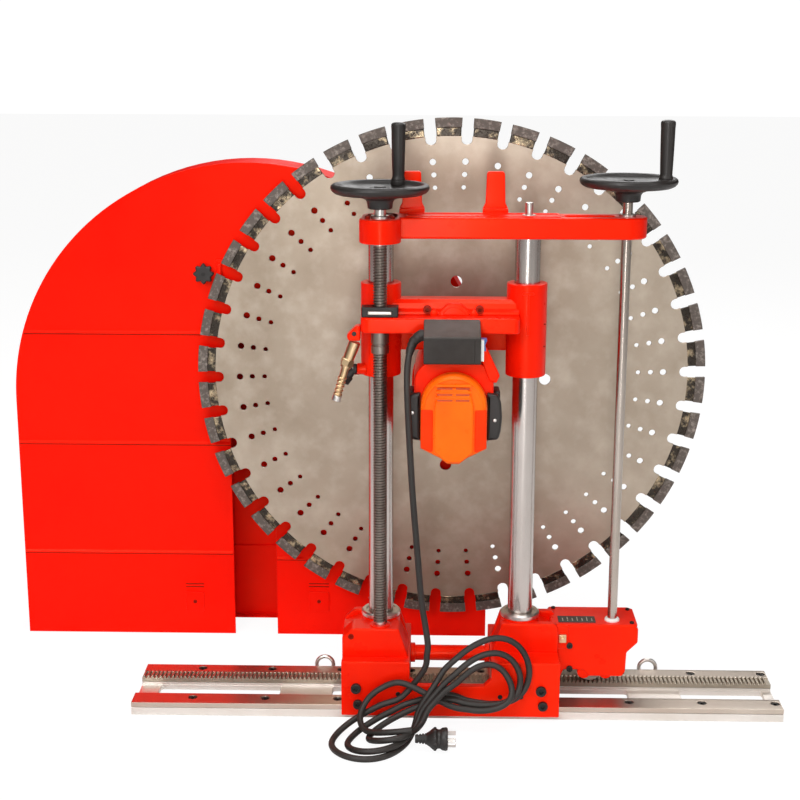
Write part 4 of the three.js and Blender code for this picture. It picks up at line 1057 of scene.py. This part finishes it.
def makeGearbox():
    v, shape = gearboxValues, Shape("gearboxCast")
    (x0, y0, z0), (x1, y1, z1) = corners("gearbox_housing")
    (cx0, cy0, cz0), (cx1, cy1, cz1) = corners("gearbox_cover")
    shaft, gear = middle("feed_shaft"), middle("worm_wheel")
    left, deck, foot = cx0, v["deck"], z0 + 3
    body = [(left, foot - 3), (left + 5, foot - 3), (left + 10, foot + 10), (left + 40, foot + 10),
            (left + 47, foot),
            (x1 - 22, foot), (x1 - 17, foot + 8), (x1 - 16, deck - 6), (x1, deck + 10), (x1, z1 - 6),
            (x1 - 6, z1), (x0, z1), (x0, deck), (left, deck)]
    hollow = box(cx0 + 12, cx1 - 16, foot + 16, z1 - 12, 3)
    shape.prism(rounded(body, [2, 2, 3, 4, 4, 5, 3, 6, 6, 3, 3, 3, 2, 2], 4), y0, y0 + 9, "y", 2.4, 4)
    shape.prism([rounded(body, [2, 2, 3, 4, 4, 5, 3, 6, 6, 3, 3, 3, 2, 2], 4), hollow], y0 + 7, y1, "y",
                1.2, 2)
    lid = [(x0 + 1, y0 + 1), (x1 - 4, y0 + 1), (x1 - 1, y0 + 4), (x1 - 1, y1 - 8), (x1 - 8, y1 - 1),
           (x0 + 1, y1 - 1)]
    shape.prism([rounded(lid, 3), circle(shaft[0], shaft[1], 7.5, 32)], z1 - 3, z1 + 0.8, "z", 1, 2)
    shape.prism(rounded([(x0, deck), (left + 16, deck), (left + 16, z1 - 1), (x0, z1 - 1)], 3), y0 - 2.5,
                y0 + 3, "y", 1.6, 3)
    for x, r in v["lobes"]:
        shape.rod("y", r, (y0 + 1, y1 - 1), (x, foot + 6), 1.5, 40)
    shape.look = 1
    for at in v["sideBolts"]:
        shape.socketScrew("y", v["boltRadius"], y0, at, 3.6)
    for dx, dy in ((x1 - 9, y0 + 8), (x1 - 9, y1 - 12), (x0 + 8, y1 - 8)):
        shape.socketScrew("z", 3.2, z1 + 0.6, (dx, dy), 2.6, out=1)
    shape.look = 2
    fx0, fx1, fz0, fz1 = v["fitting"]
    shape.prism(box(fx0, fx1, fz0, fz1, 1.5), y0 - 6, y0 + 1, "y", 1.2)
    shape.rod("y", 3.2, (y0 - 9, y0 - 5), ((fx0 + fx1) / 2, (fz0 + fz1) / 2), 0.6, 24)
    shape.piece([redPaint, screwBlack, brass], "carriage", ["gearbox_housing"], "red_paint")
    shape = Shape("gearboxPlate")
    px0, px1, py0, py1 = v["plate"]
    shape.prism(box(px0, px1, py0, py1, 1.5), z1 + 0.7, z1 + 1.9, "z", 0.4)
    shape.look = 1
    for k in range(7):  # plain index marks
        at = px0 + 6 + k * 7.2
        shape.prism(rect(at, at + 1.4, py0 + 5, py1 - (5 if k % 2 else 9)), z1 + 1.8, z1 + 2.15, "z", 0.1,
                    1)
    shape.piece([plateBlack, silver], "carriage", slot="aluminium")
    shape = Shape("gearboxCover")
    cover = [(cx0, foot + 10), (gear[0] - 14, foot + 10), (gear[0] - 14, cz0 + 1), (gear[0] + 14, cz0 + 1),
             (gear[0] + 14, foot + 4), (cx1, foot + 8), (cx1, cz1), (cx0, cz1)]
    shape.prism(rounded(cover, 3, 4), cy0, cy1, "y", 1, 2)
    shape.look = 1
    for at in ((cx0 + 6, cz1 - 6), (cx1 - 6, cz1 - 6), (cx0 + 6, foot + 17), (cx1 - 6, foot + 16)):
        shape.socketScrew("y", 3.4, cy1, at, 2.6, out=1)
    for z in (middle("worm_wheel")[2], middle("rack_pinion")[2]):
        shape.rod("y", 7.5, (cy1 - 0.5, cy1 + 0.9), (gear[0], z), 0.4, 36)
    shape.piece([redPaint, screwBlack], "carriage", ["gearbox_cover"], "red_paint")


makeGearbox()
print("gearbox closed")

# ---- head: casting, nut, motor, switch box, water arm and lock lever
headValues = {"bore": 18.3, "bridge": (571.0, 613.0, -30.0, 12.0), "flange": (571.0, 593.0),
              "flangeFront": -57.0,
              "bolts": ((-46.3, 600.5), (26.8, 600.9)), "boss": (-30.0, 12.0, 589.0, 610.0),
              "screwHole": 11.0}


def makeHeadCasting():
    v, shape = headValues, Shape("headCast")
    (x0, y0, z0), (x1, y1, z1) = corners("head_casting")
    left, right, screw = middle("column_left"), middle("column_right"), middle("lead_screw")
    radius = x1 - right[0]
    for column in (left, right):
        profile = [(v["bore"], z0), (radius - 2, z0), (radius - 0.5, z0 + 0.6), (radius, z0 + 2),
                   (radius, z1 - 2),
                   (radius - 0.5, z1 - 0.6), (radius - 2, z1), (v["bore"] + 1.5, z1), (v["bore"], z1 - 1.5)]
        shape.lathe(profile, (column[0], column[1], 0), "z", 72)
    low, top, front, back = v["bridge"]
    ridge = [(front + 1, low), (back, low), (back, top - 4), (back - 4, top), (front + 12, top),
             (front + 7, top - 5),
             (front + 6, top - 12), (front, top - 16), (front - 0.5, top - 19), (front + 3, top - 22),
             (front + 2, top - 30)]
    shape.prism(ridge, left[0] + 12, right[0] - 12, "x", 0.4, 1)
    flangeLow, flangeTop = v["flange"]
    flange = rounded([(x0 + 6.5, -10), (x0 + 6.5, v["flangeFront"]), (82, v["flangeFront"]), (82, -10)],
                     [3, 12, 8, 3], 6)
    shape.prism([flange, circle(screw[0], screw[1], v["screwHole"], 32)], flangeLow, flangeTop, "z", 2.6, 4)
    bx0, bx1, bz0, bz1 = v["boss"]
    pad = [(bx0, bz0), (bx1, bz0), (bx1, bz0 + 9), (bx1 - 8, bz1 - 4), (bx1 - 14, bz1), (bx0 + 14, bz1),
           (bx0 + 8, bz1 - 4), (bx0, bz0 + 9)]
    shape.prism(pad, front - 6.5, front + 4, "y", 2.2, 4)
    shape.prism(inset(pad, 5), front - 8, front - 5, "y", 1.2, 3)
    for at in (bx0 - 7, bx1 + 7):  # bosses either side of the pad
        shape.rod("y", 5.4, (front - 5, front + 4), (at, bz0 + 7), 1.4, 32)
    shape.prism([(right[0] - 2, z0 + 62), (right[0] + 2, z0 + 62), (right[0] + 1.2, z1 - 12),
                 (right[0] - 1.2, z1 - 12)], -radius - 1.4, -radius + 3, "y", 0.8)
    shape.prism(box(right[0] - 8, right[0] + 8, z1 - 14, z1 - 10, 1.2), -radius - 1.2, -radius + 3, "y",
                0.8)
    lever = corners("lock_lever")
    y, z = lever[1][1] - 7, lever[1][2] - 7
    shape.rod("x", 8, (x0, x0 + 14), (y, z), 1.4, 36)
    # painted shade: the two bolts and the clamp slits in the darker red
    shape.look = 1
    for at in v["bolts"]:
        shape.socketScrew("y", 5.6, front + 3, at, 8)
    for z in (z0 + 43, z0 + 75):  # clamp slits
        shape.prism(box(right[0] + 8, right[0] + 26.4, z, z + 1.8, 0.6), -16, -13.2, "y", 0.4, 1)
    shape.piece([redPaint, redPaintedShade], "head", ["head_casting"], "red_paint")


def makeNut():
    (x0, y0, z0), (x1, y1, z1) = corners("nut_plate")
    screw = middle("lead_screw")
    hole = circle(screw[0], screw[1], headValues["screwHole"], 32)
    shape = Shape("nutPlate")
    shape.prism([box(x0, x1, y0 + 3, y1, 2), hole], z0, z1, "z", 1, 2)
    shape.look = 1
    shape.prism(box(x0 + 9, x1 - 9, y0, y0 + 4, 1.2), z0 + 4, z1 - 5.5, "z", 0.8)
    shape.piece([screwBlack, plainSteel], "head", ["nut_plate"], "steel")
    (x0, y0, z0), (x1, y1, z1) = corners("lead_nut")
    r, shape = (x1 - x0) / 2, Shape("leadNutTurned")
    shape.lathe([(10.2, z0), (r - 1, z0), (r, z0 + 1), (r, z0 + 11), (r - 1.2, z0 + 12),
                 (r - 1.2, z0 + 14), (r, z0 + 15), (r, z1), (10.2, z1)], (screw[0], screw[1], 0), "z", 48)
    shape.piece(threadSteel, "head", ["lead_nut"], "screw_steel")


motorValues = {"shoulder": 30.0, "taper": 14.0,
               "lug": ((27.8, 556.7), (36, 556.7), (54, 519.1), (49.1, 508.5),
                                                       (38.8, 512.7), (28, 542))}


def makeMotor():
    v, shape = motorValues, Shape("motorHousing")
    (x0, y0, z0), (x1, y1, z1) = corners("motor_housing")
    r, t = v["shoulder"], v["taper"]
    front = [(x0 + t, z0), (x1 - t, z0), (x1, z0 + t)] + arcPoints(x1 - r, z1 - r, r, 0, 90, 12)
    front += arcPoints(x0 + r, z1 - r, r, 90, 180, 12) + [(x0, z0 + t)]
    shape.prism(front, y0, y1, "y", 2.6, 5)
    for z in (z0 + 30, z0 + 46, z0 + 62):  # cooling ribs down both sides
        for side in (x0 - 0.9, x1 - 1.6):
            shape.prism(rect(side, side + 2.5, y0 + 52, y1 - 14), z, z + 6, "z", 0.8)
    shape.prism(rounded(list(v["lug"]), 3, 4), y0 - 3, y0 + 12, "y", 2, 4)
    shape.piece(redPaint, "head", ["motor_housing"], "red_paint")


capValues = {"rim": 2.4, "panel": 27.0, "louvres": (511.0, 502.5, 494.5), "louvreSpan": (-34.0, 14.0)}


def makeEndCap():
    v, shape = capValues, Shape("motorEndCap")
    (x0, y0, z0), (x1, y1, z1) = corners("motor_end_cap")
    x, r = (x0 + x1) / 2, (x1 - x0) / 2
    top, floorZ = z1 - r, z0
    outline = [(x - 8, floorZ), (x + 8, floorZ), (x + 19, floorZ + 8.5), (x1, floorZ + 22)] + arcPoints(x,
            top, r, 0, 180, 36)
    outline += [(x0, floorZ + 22), (x - 19, floorZ + 8.5)]
    shape.prism(outline, y0 + 4.5, y1, "y", 6.5, 6)
    panel = [(x - 10, floorZ + 4), (x + 10, floorZ + 4), (x + v["panel"], floorZ + 19),
             (x + v["panel"], top + 4),
             (x + v["panel"] - 7, top + 30), (x - v["panel"] + 7, top + 30), (x - v["panel"], top + 4),
             (x - v["panel"], floorZ + 19)]
    shape.prism(rounded(panel, [4, 4, 5, 4, 8, 8, 4, 5], 5), y0, y0 + 9, "y", 2.8, 5)
    rim = [(px, y0 + 5.5, pz) for px, pz in arcPoints(x, top, r - 4.2, 4, 176, 40)]
    shape.sweep(rim, v["rim"], 10)
    for z in v["louvres"]:
        shape.prism(rounded([(y0 - 0.6, z), (y0 + 3, z - 1), (y0 + 3, z + 3.6), (y0 + 0.6, z + 2.4)], 0.5,
                            2), v["louvreSpan"][0], v["louvreSpan"][1], "x", 0.6)
    # painted shade: darker orange strips in the louvre slots, where shade falls between the fins
    shape.look = 1
    for z in v["louvres"]:
        for a, b in ((v["louvreSpan"][0] + 2, x - 2), (x + 2, v["louvreSpan"][1] - 2)):
            shape.prism(box(a, b, z - 3.6, z - 1.2, 0.8), y0 - 0.15, y0 + 0.6, "y", 0.2, 1)
    # painted shade: the side bands of the cap in a darker orange, for the sides turned from the light
    shape.look = 2
    for side in (-1, 1):
        band = [(x + side * (v["panel"] + 1.5), floorZ + 17), (x + side * (r - 0.6), floorZ + 24),
                (x + side * (r - 0.6), top - 2), (x + side * (v["panel"] + 1.5), top - 2)]
        shape.prism(rounded(band, 2.5, 3), y0 + 3.2, y0 + 10, "y", 1.4, 3)
    shape.piece([orangePlastic, ventPaintedShade, capPaintedShade], "head", ["motor_end_cap"], "orange_plastic")


coverValues = {"nose": 14.0, "wrap": 9.5, "bulge": 2.5}


def makeSideCover(name, side):
    v, shape = coverValues, Shape(f"sideCover_{name}")
    (x0, y0, z0), (x1, y1, z1) = corners(f"side_cover_{name}")
    outline = [(y0, z0), (y0 + 34, z0), (y1, z0 + 12), (y1, z0 + 56), (y0 + 34, z1), (y0, z1)]
    shape.prism(rounded(outline, [5, 8, 6, 6, 8, 5], 5), x0, x1, "x", 3, 5)
    near, far = (x0 - v["wrap"], x1 + v["bulge"]) if side > 0 else (x1 + v["wrap"], x0 - v["bulge"])
    nose = [(near, z0), (far - side * 5, z0 + 2), (far - side * 1.5, z0 + 14), (far, (z0 + z1) / 2),
            (far - side * 1.5, z1 - 14), (far - side * 6, z1 - 3), (near, z1)]
    nose = nose if side > 0 else nose[::-1]
    radii = [2, 5, 14, 22, 14, 6, 2]
    shape.prism(rounded(nose, radii if side > 0 else radii[::-1], 6), y0 - v["nose"], y0 + 6, "y", 4, 6)
    shape.look = 1
    shape.rod("y", 2.5, (y0 - v["nose"] - 0.5, y0 - v["nose"] + 2),
              (near + side * 11, (z0 + z1) / 2 + (6 if side < 0 else -4)), 0.8, 28)
    shape.piece([blackPlastic, silver], "head", [f"side_cover_{name}"], "black_plastic")


switchValues = {"slope": 15.0, "frame": 8.2, "clear": 1.2, "trim": 0.8}


def makeSwitch():
    # a body and, at its right end, an open frame that the rocker tilts in
    v, shape = switchValues, Shape("switchBoxMoulded")
    (x0, y0, z0), (x1, y1, z1) = corners("switch_box")
    (left, near, low), (right, far, high) = corners("switch_rocker")
    slope, mouth, clear = z1 - v["slope"], x1 - v["frame"], v["clear"]
    side = rounded([(y0, z0), (y1, z0), (y1, z1 - 2), (y0, slope - 1.6)], [3, 1, 1, 3], 4)
    window = rect(near - clear, far + clear, low - clear, high + clear)
    shape.prism(side, x0, mouth, "x", 0.8, 4)
    shape.prism([side, window], mouth, x1, "x", 0.5)
    # painted light: the sloping top in a lighter plastic than the body, for the light falling on it
    shape.look = 1
    shape.prism([(y0 + 0.6, slope - 2.4), (y1 - 0.4, z1 - 3), (y1 - 0.4, z1), (y0 + 0.6, slope + 0.2)],
                x0 + 0.6, x1 - 0.6, "x", 0.8)
    shape.look = 2
    shape.prism(box(x1 - 1, x1 + 4.2, z0 + 4, slope - 6, 1), y0 + 4, y0 + 14, "y", 0.6)
    shape.piece([boxPlastic, switchLitTop, whiteLabel], "head", ["switch_box"], "black_plastic")
    shape, middleHeight = Shape("switchRocker"), (low + high) / 2
    low, high = low + v["trim"], high - v["trim"]
    shape.prism(rounded([(left + 0.4, low), (right + 6, low), (right + 4, middleHeight), (right + 7, high),
                         (left + 0.4, high)], [0.5, 1, 2, 1, 0.5], 3), near, far, "y", 0.8)
    shape.piece(bluePlastic, "switch_rocker", ["switch_rocker"], "black_plastic")


glandValues = {"start": (-50.6, -80.3, 574.0), "reach": 7}


def makeGland():
    v, shape = glandValues, Shape("strainRelief")
    start = Vector(v["start"])
    way, _ = smoothRoute([start, start + Vector((-5.5, 0, -0.5))] + [p for p in cordPath[0:v["reach"]]],
                         1.6)
    count = len(way)
    radii = []
    for k in range(count):
        t = k / (count - 1)
        rib = 0.45 if (k // 2) % 2 and 0.25 < t < 0.9 else 0
        radii.append(7.7 - 2.5 * t + rib)
    shape.sweep(way, radii, 24)
    (x0, y0, z0), (x1, y1, z1) = corners("cord_gland")
    shape.rod("x", 8.4, (x1 - 6, x1 + 0.1), (start[1], start[2]), 1, 6)
    shape.piece(cordRubber, "head", ["cord_gland"], "rubber")


def makeWater():
    (x0, y0, z0), (x1, y1, z1) = corners("water_arm")
    shape = Shape("waterArm")
    arm = [(x0 + 2, z0), (x1, z0), (x1, z1), (x1 - 6, z1), (x0, z0 + 8)]
    shape.prism(rounded(arm, [4, 2, 2, 4, 5], 4), y0, y1, "y", 2.4, 4)
    shape.look = 1
    shape.rod("y", 3.4, (y0 - 2.4, y0 + 1), ((x0 + x1) / 2 + 1, (z0 + z1) / 2), 0.6, 6)
    shape.piece([redPaint, screwBlack], "head", ["water_arm"], "red_paint")
    shape, y = Shape("hoseBarb"), (y0 + y1) / 2
    start, waist, tip = Vector((-147, y, 556)), Vector((-161, y, 519)), Vector((-173.5, y, 474))
    shape.strut(start, waist, 8.4, 7.4, 32)
    shape.strut(waist + (start - waist) * 0.1, tip, 5.4, 5.0, 28)
    for k in range(5):
        a = waist.lerp(tip, 0.3 + 0.13 * k)
        shape.strut(a, a + (tip - waist).normalized() * 4.4, 6.6, 5.2, 28)
    shape.strut(start + (waist - start) * 0.66, start + (waist - start) * 0.9, 9.6, 9.6, 6)
    shape.look = 1
    along = (tip - waist).normalized()
    shape.strut(tip - along * 5, tip + along * 3, 6.4, 6.4, 28)
    shape.piece([brass, silver], "head", ["hose_barb"], "brass")


def makeLever():
    (x0, y0, z0), (x1, y1, z1) = corners("lock_lever")
    y, z, shape = y1 - 7, z1 - 7, Shape("lockLever")
    shape.rod("x", 7, (x1 - 5, x1), (y, z), 1, 36)
    shape.strut((x1 - 4, y, z - 1), (x0 + 8, y, z0 + 9), 4.6, 6.6, 28)
    shape.strut((x0 + 12, y, z0 + 14), (x0 + 5.5, y, z0 + 4), 8.2, 7.4, 6)
    shape.look = 1
    shape.rod("x", 3.2, (x1 - 6, x1 - 4.4), (y, z), 0.4, 6)
    shape.piece([blackPlastic, silver], "lock_lever", ["lock_lever"], "black_plastic")


def makeGearHousing():
    shape = Shape("gearHousingCast")
    (x0, y0, z0), (x1, y1, z1) = corners("gear_housing")
    spindle, motor = middle("spindle"), middle("rotor")
    r, bodyEnd = spindle[2] - z0, y0 + 120
    barrel = arcPoints(spindle[0], spindle[2], r, 180, 360, 28) + arcPoints(motor[0], motor[2], r, 0, 180,
            28)
    shape.prism(barrel, y0, bodyEnd, "y", 5, 6)
    shape.prism(inset(barrel, -3.5), y0 + 36, y0 + 46, "y", 2.5, 4)
    shape.prism(box(x0, x1, z1 - 45, z1, 6), y0, y0 + 18, "y", 2.5, 4)
    neck = [(12.4, bodyEnd - 4), (44, bodyEnd - 4), (42, bodyEnd + 2), (36, bodyEnd + 7),
            (34, bodyEnd + 14), (34, y1 - 2), (32, y1), (12.4, y1)]
    shape.lathe(neck, (spindle[0], 0, spindle[2]), "y", 72)
    shape.look = 1
    for k in range(8):
        turn = math.radians(22.5 + 45 * k)
        cz = spindle[2] + (motor[2] - spindle[2] if math.sin(turn) > 0 else 0)
        shape.socketScrew("y", 4, bodyEnd, (spindle[0] + (r - 10) * math.cos(turn),
                                            cz + (r - 10) * math.sin(turn)), 3.4, out=1)
    for dx in (x0 + 12, x1 - 12):
        for dz in (z1 - 11, z1 - 34):
            shape.socketScrew("y", 5, y0 + 18, (dx, dz), 4, out=1)
    shape.piece([redPaint, screwBlack], "head", ["gear_housing"], "deep_red_paint")


makeHeadCasting()
makeNut()
makeMotor()
makeEndCap()
makeSideCover("left", -1)
makeSideCover("right", 1)
makeSwitch()
makeGland()
makeWater()
makeLever()
makeGearHousing()
print("head assembled")

# ---- blade, spindle and flanges
bladeValues = {"core": 372.5, "rim": 400.0, "band": 385.5, "gullets": 42, "width": 16.4, "bottom": 367.0,
               "turn": 1.05, "rows": ((334.0, 5.0), (314.3, 4.0), (294.7, 3.5)), "driveCircle": 148.5,
               "driveRadius": 9.0, "driveTurn": -2.7, "bore": 12.3, "proud": 0.35}


def makeBlade():
    v, shape = bladeValues, Shape("bladeCore")
    (x0, y0, z0), (x1, y1, z1) = corners("blade")
    cx, cz = (x0 + x1) / 2, (z0 + z1) / 2
    half, step = v["width"] / 2, 2 * math.pi / v["gullets"]

    def at(angle, radius, across=0.0):
        return (cx + radius * math.cos(angle) - across * math.sin(angle),
                cz + radius * math.sin(angle) + across * math.cos(angle))

    outline, holes = [], []
    for k in range(v["gullets"]):
        angle = math.radians(v["turn"]) + k * step
        for i in range(7):  # the gullet's round bottom
            turn = math.pi * i / 6
            outline.append(at(angle, v["bottom"] - half * math.sin(turn) * 0.92, -half * math.cos(turn)))
        wide = math.asin(half / v["core"])
        outline += [at(angle + wide + (step - 2 * wide) * i / 5, v["core"]) for i in range(6)]
        for radius, size in v["rows"]:
            holes.append([at(angle, radius + size * math.cos(t), size * math.sin(t))
                          for t in (2 * math.pi * i / 14 for i in range(14))])
    for k in range(4):
        turn = math.radians(v["driveTurn"] + 90 * k)
        holes.append(circle(cx + v["driveCircle"] * math.cos(turn), cz + v["driveCircle"] * math.sin(turn),
                            v["driveRadius"], 32))
    shape.prism([outline] + holes + [circle(cx, cz, v["bore"], 48)], y0 + 0.25, y1 - 0.25, "y", 0.35, 1)
    shape.piece(bladeSteel, "spindle", ["blade"], "blade_steel")
    shape = Shape("bladeSegments")
    for k in range(v["gullets"]):
        angle = math.radians(v["turn"]) + (k + 0.5) * step

        def edge(radius, share):
            wide = step / 2 - math.asin((half + 0.6) / radius)
            return at(angle + wide * share, radius)

        shape.look = 0
        outer = [edge(v["band"] - 0.4, -1), edge(v["rim"] - 0.2, -1)] + [edge(v["rim"] - 0.1, s / 4)
                for s in range(-3, 4)]
        outer += [edge(v["rim"] - 0.2, 1), edge(v["band"] - 0.4, 1)] + [edge(v["band"] - 0.4, -s / 4)
                for s in range(-3, 4)]
        shape.prism(outer, y0 - v["proud"], y1 + v["proud"], "y", 0.5, 1)
        shape.look = 1
        inner = [edge(v["core"] - 0.8, -0.99),
                 edge(v["band"], -0.97)] + [edge(v["band"], s / 4) for s in range(-3, 4)]
        inner += [edge(v["band"], 0.97), edge(v["core"] - 0.8, 0.99)] + [edge(v["core"] - 0.8, -s / 4)
                for s in range(-3, 4)]
        shape.prism(inner, y0 - 0.1, y1 + 0.1, "y", 1.6, 3)
        ridge = (v["core"] + v["band"]) / 2
        shape.sweep([(p[0], y0 + 0.3, p[1]) for p in (edge(ridge + 3.2 * math.sin(s * 1.9 + k), s / 6)
                                                      for s in range(-5, 6))],
                    [0.7 + 0.35 * math.sin(s * 2.3 + k) for s in range(11)], 8)
    shape.piece([segmentGrey, segmentDark], "spindle", slot="blade_steel")


def makeSpindle():
    (x0, y0, z0), (x1, y1, z1) = corners("spindle")
    x, z, shape = (x0 + x1) / 2, (z0 + z1) / 2, Shape("spindleTurned")
    shape.rod("y", 12, (y0, y1), (x, z), 1.2, 48)
    shape.rod("y", (z1 - z0) / 2, (y0 + 16, y0 + 38), (x, z), 1, 48)
    shape.rod("y", 18, (y1 - 4.8, y1 - 1.2), (x, z), 0.8, 6)
    shape.piece(plainSteel, "spindle", ["spindle"], "steel")
    for side in ("inner", "outer"):
        (x0, y0, z0), (x1, y1, z1) = corners(f"blade_flange_{side}")
        r, shape = (x1 - x0) / 2, Shape(f"bladeFlange_{side}")
        near, far = (y1, y0) if side == "inner" else (y0, y1)
        out = 1 if far > near else -1
        profile = [(12.3, near), (r - 0.6, near), (r, near + out * 0.6), (r, near + out * 4),
                   (r - 1, near + out * 5), (r - 12, far - out * 0.4), (r - 13, far), (12.3, far)]
        shape.lathe(profile, (x, 0, z), "y", 84)
        shape.piece(plainSteel, "spindle", [f"blade_flange_{side}"], "steel")


makeBlade()
makeSpindle()
for node in ("rotor", "worm_wheel", "rack_pinion"):
    bpy.data.objects[node].material_slots[0].material = plainSteel
print("blade mounted")

# ---- floor, backdrop light and lamps
studioValues = {"floor": 30.0, "floorGlow": 0.88, "backdrop": 1.06, "front": (0.9, 0.87, 0.83),
                "sides": (0.07, 0.055, 0.05), "skyGlow": 0.8}
lamps = {"key": {"at": (-1.5, -2.7, 2.5), "aim": (0, 0, 0.35), "size": (1.5, 1.5), "power": 54},
         "fill": {"at": (2.6, -2.0, 1.5), "aim": (0, 0, 0.4), "size": (0.9, 1.6), "power": 14},
         "strip": {"at": (-0.1, -3.0, 0.6), "aim": (-0.1, 0, 0.45), "size": (0.3, 1.6), "power": 18},
         "top": {"at": (0, -0.5, 3.2), "aim": (0, 0, 0.4), "size": (2.4, 1.2), "power": 52},
         "back": {"at": (0.5, 2.6, 2.6), "aim": (0, 0, 0.4), "size": (2.2, 1.4), "power": 45}}


def makeStudio():
    v = studioValues
    mesh = bpy.data.meshes.new("floor")
    half = v["floor"] / 2
    mesh.from_pydata([(-half, -half, 0), (half, -half, 0), (half, half, 0), (-half, half, 0)], [],
                     [[0, 1, 2, 3]])
    floor = bpy.data.objects.new("floor", mesh)
    look = Look("paleFloor", Roughness=0.8, Specular_IOR_Level=0.1)
    look.feed(Base_Color=look.mix(look.noise(3, 3), (0.84, 0.84, 0.84), (0.88, 0.88, 0.88)))
    seen = look.node("ShaderNodeLightPath", output="Is Camera Ray")
    white = look.node("ShaderNodeEmission", {}, {"Strength": v["backdrop"]})
    lit = Wire(look, look.shader.outputs[0])
    mixed = look.node("ShaderNodeMixShader", {}, {0: seen * v["floorGlow"], 1: lit, 2: white})
    look.tree.links.new(mixed.socket, look.tree.nodes["Material Output"].inputs["Surface"])
    mesh.materials.append(look.material)
    bpy.context.scene.collection.objects.link(floor)
    world = bpy.data.worlds.new("studio")
    world.use_nodes = True
    bpy.context.scene.world = world
    tree = world.node_tree
    plain, sky = tree.nodes["Background"], tree.nodes.new("ShaderNodeBackground")
    plain.inputs["Strength"].default_value = v["backdrop"]
    plain.inputs["Color"].default_value = (1, 1, 1, 1)
    sky.inputs["Strength"].default_value = v["skyGlow"]
    coords, split = tree.nodes.new("ShaderNodeTexCoord"), tree.nodes.new("ShaderNodeSeparateXYZ")
    ramp, path, mix = (tree.nodes.new("ShaderNode" + kind)
                       for kind in ("ValToRGB", "LightPath", "MixShader"))
    # bright in front of the saw, dark at its sides
    for stop, position, color in zip(ramp.color_ramp.elements, (0.1, 0.98), (v["sides"], v["front"])):
        stop.position, stop.color = position, (*color, 1)
    turn = tree.nodes.new("ShaderNodeMath")
    turn.operation = "MULTIPLY"
    turn.inputs[1].default_value = -1
    for a, b in ((coords.outputs["Generated"], split.inputs[0]), (split.outputs["Y"], turn.inputs[0]),
                 (turn.outputs[0], ramp.inputs["Fac"]), (ramp.outputs["Color"], sky.inputs["Color"]),
                 (path.outputs["Is Camera Ray"], mix.inputs["Fac"]),
                 (sky.outputs[0], mix.inputs[1]), (plain.outputs[0], mix.inputs[2]),
                 (mix.outputs[0], tree.nodes["World Output"].inputs["Surface"])):
        tree.links.new(a, b)
    for name, lampValues in lamps.items():
        lamp = bpy.data.lights.new(name, "AREA")
        lamp.shape, lamp.energy = "RECTANGLE", lampValues["power"]
        lamp.size, lamp.size_y = lampValues["size"]
        holder = bpy.data.objects.new(name, lamp)
        holder.location = lampValues["at"]
        aim = Vector(lampValues["at"]) - Vector(lampValues["aim"])
        holder.rotation_euler = aim.to_track_quat("Z", "Y").to_euler()
        bpy.context.scene.collection.objects.link(holder)
    bpy.context.scene.view_settings.view_transform = "Standard"


makeStudio()
print("studio lit")

# ---- the cord's first point and its path, in metres
tuple(cordPath[0] * mm)
[tuple(p * mm) for p in cordPath]
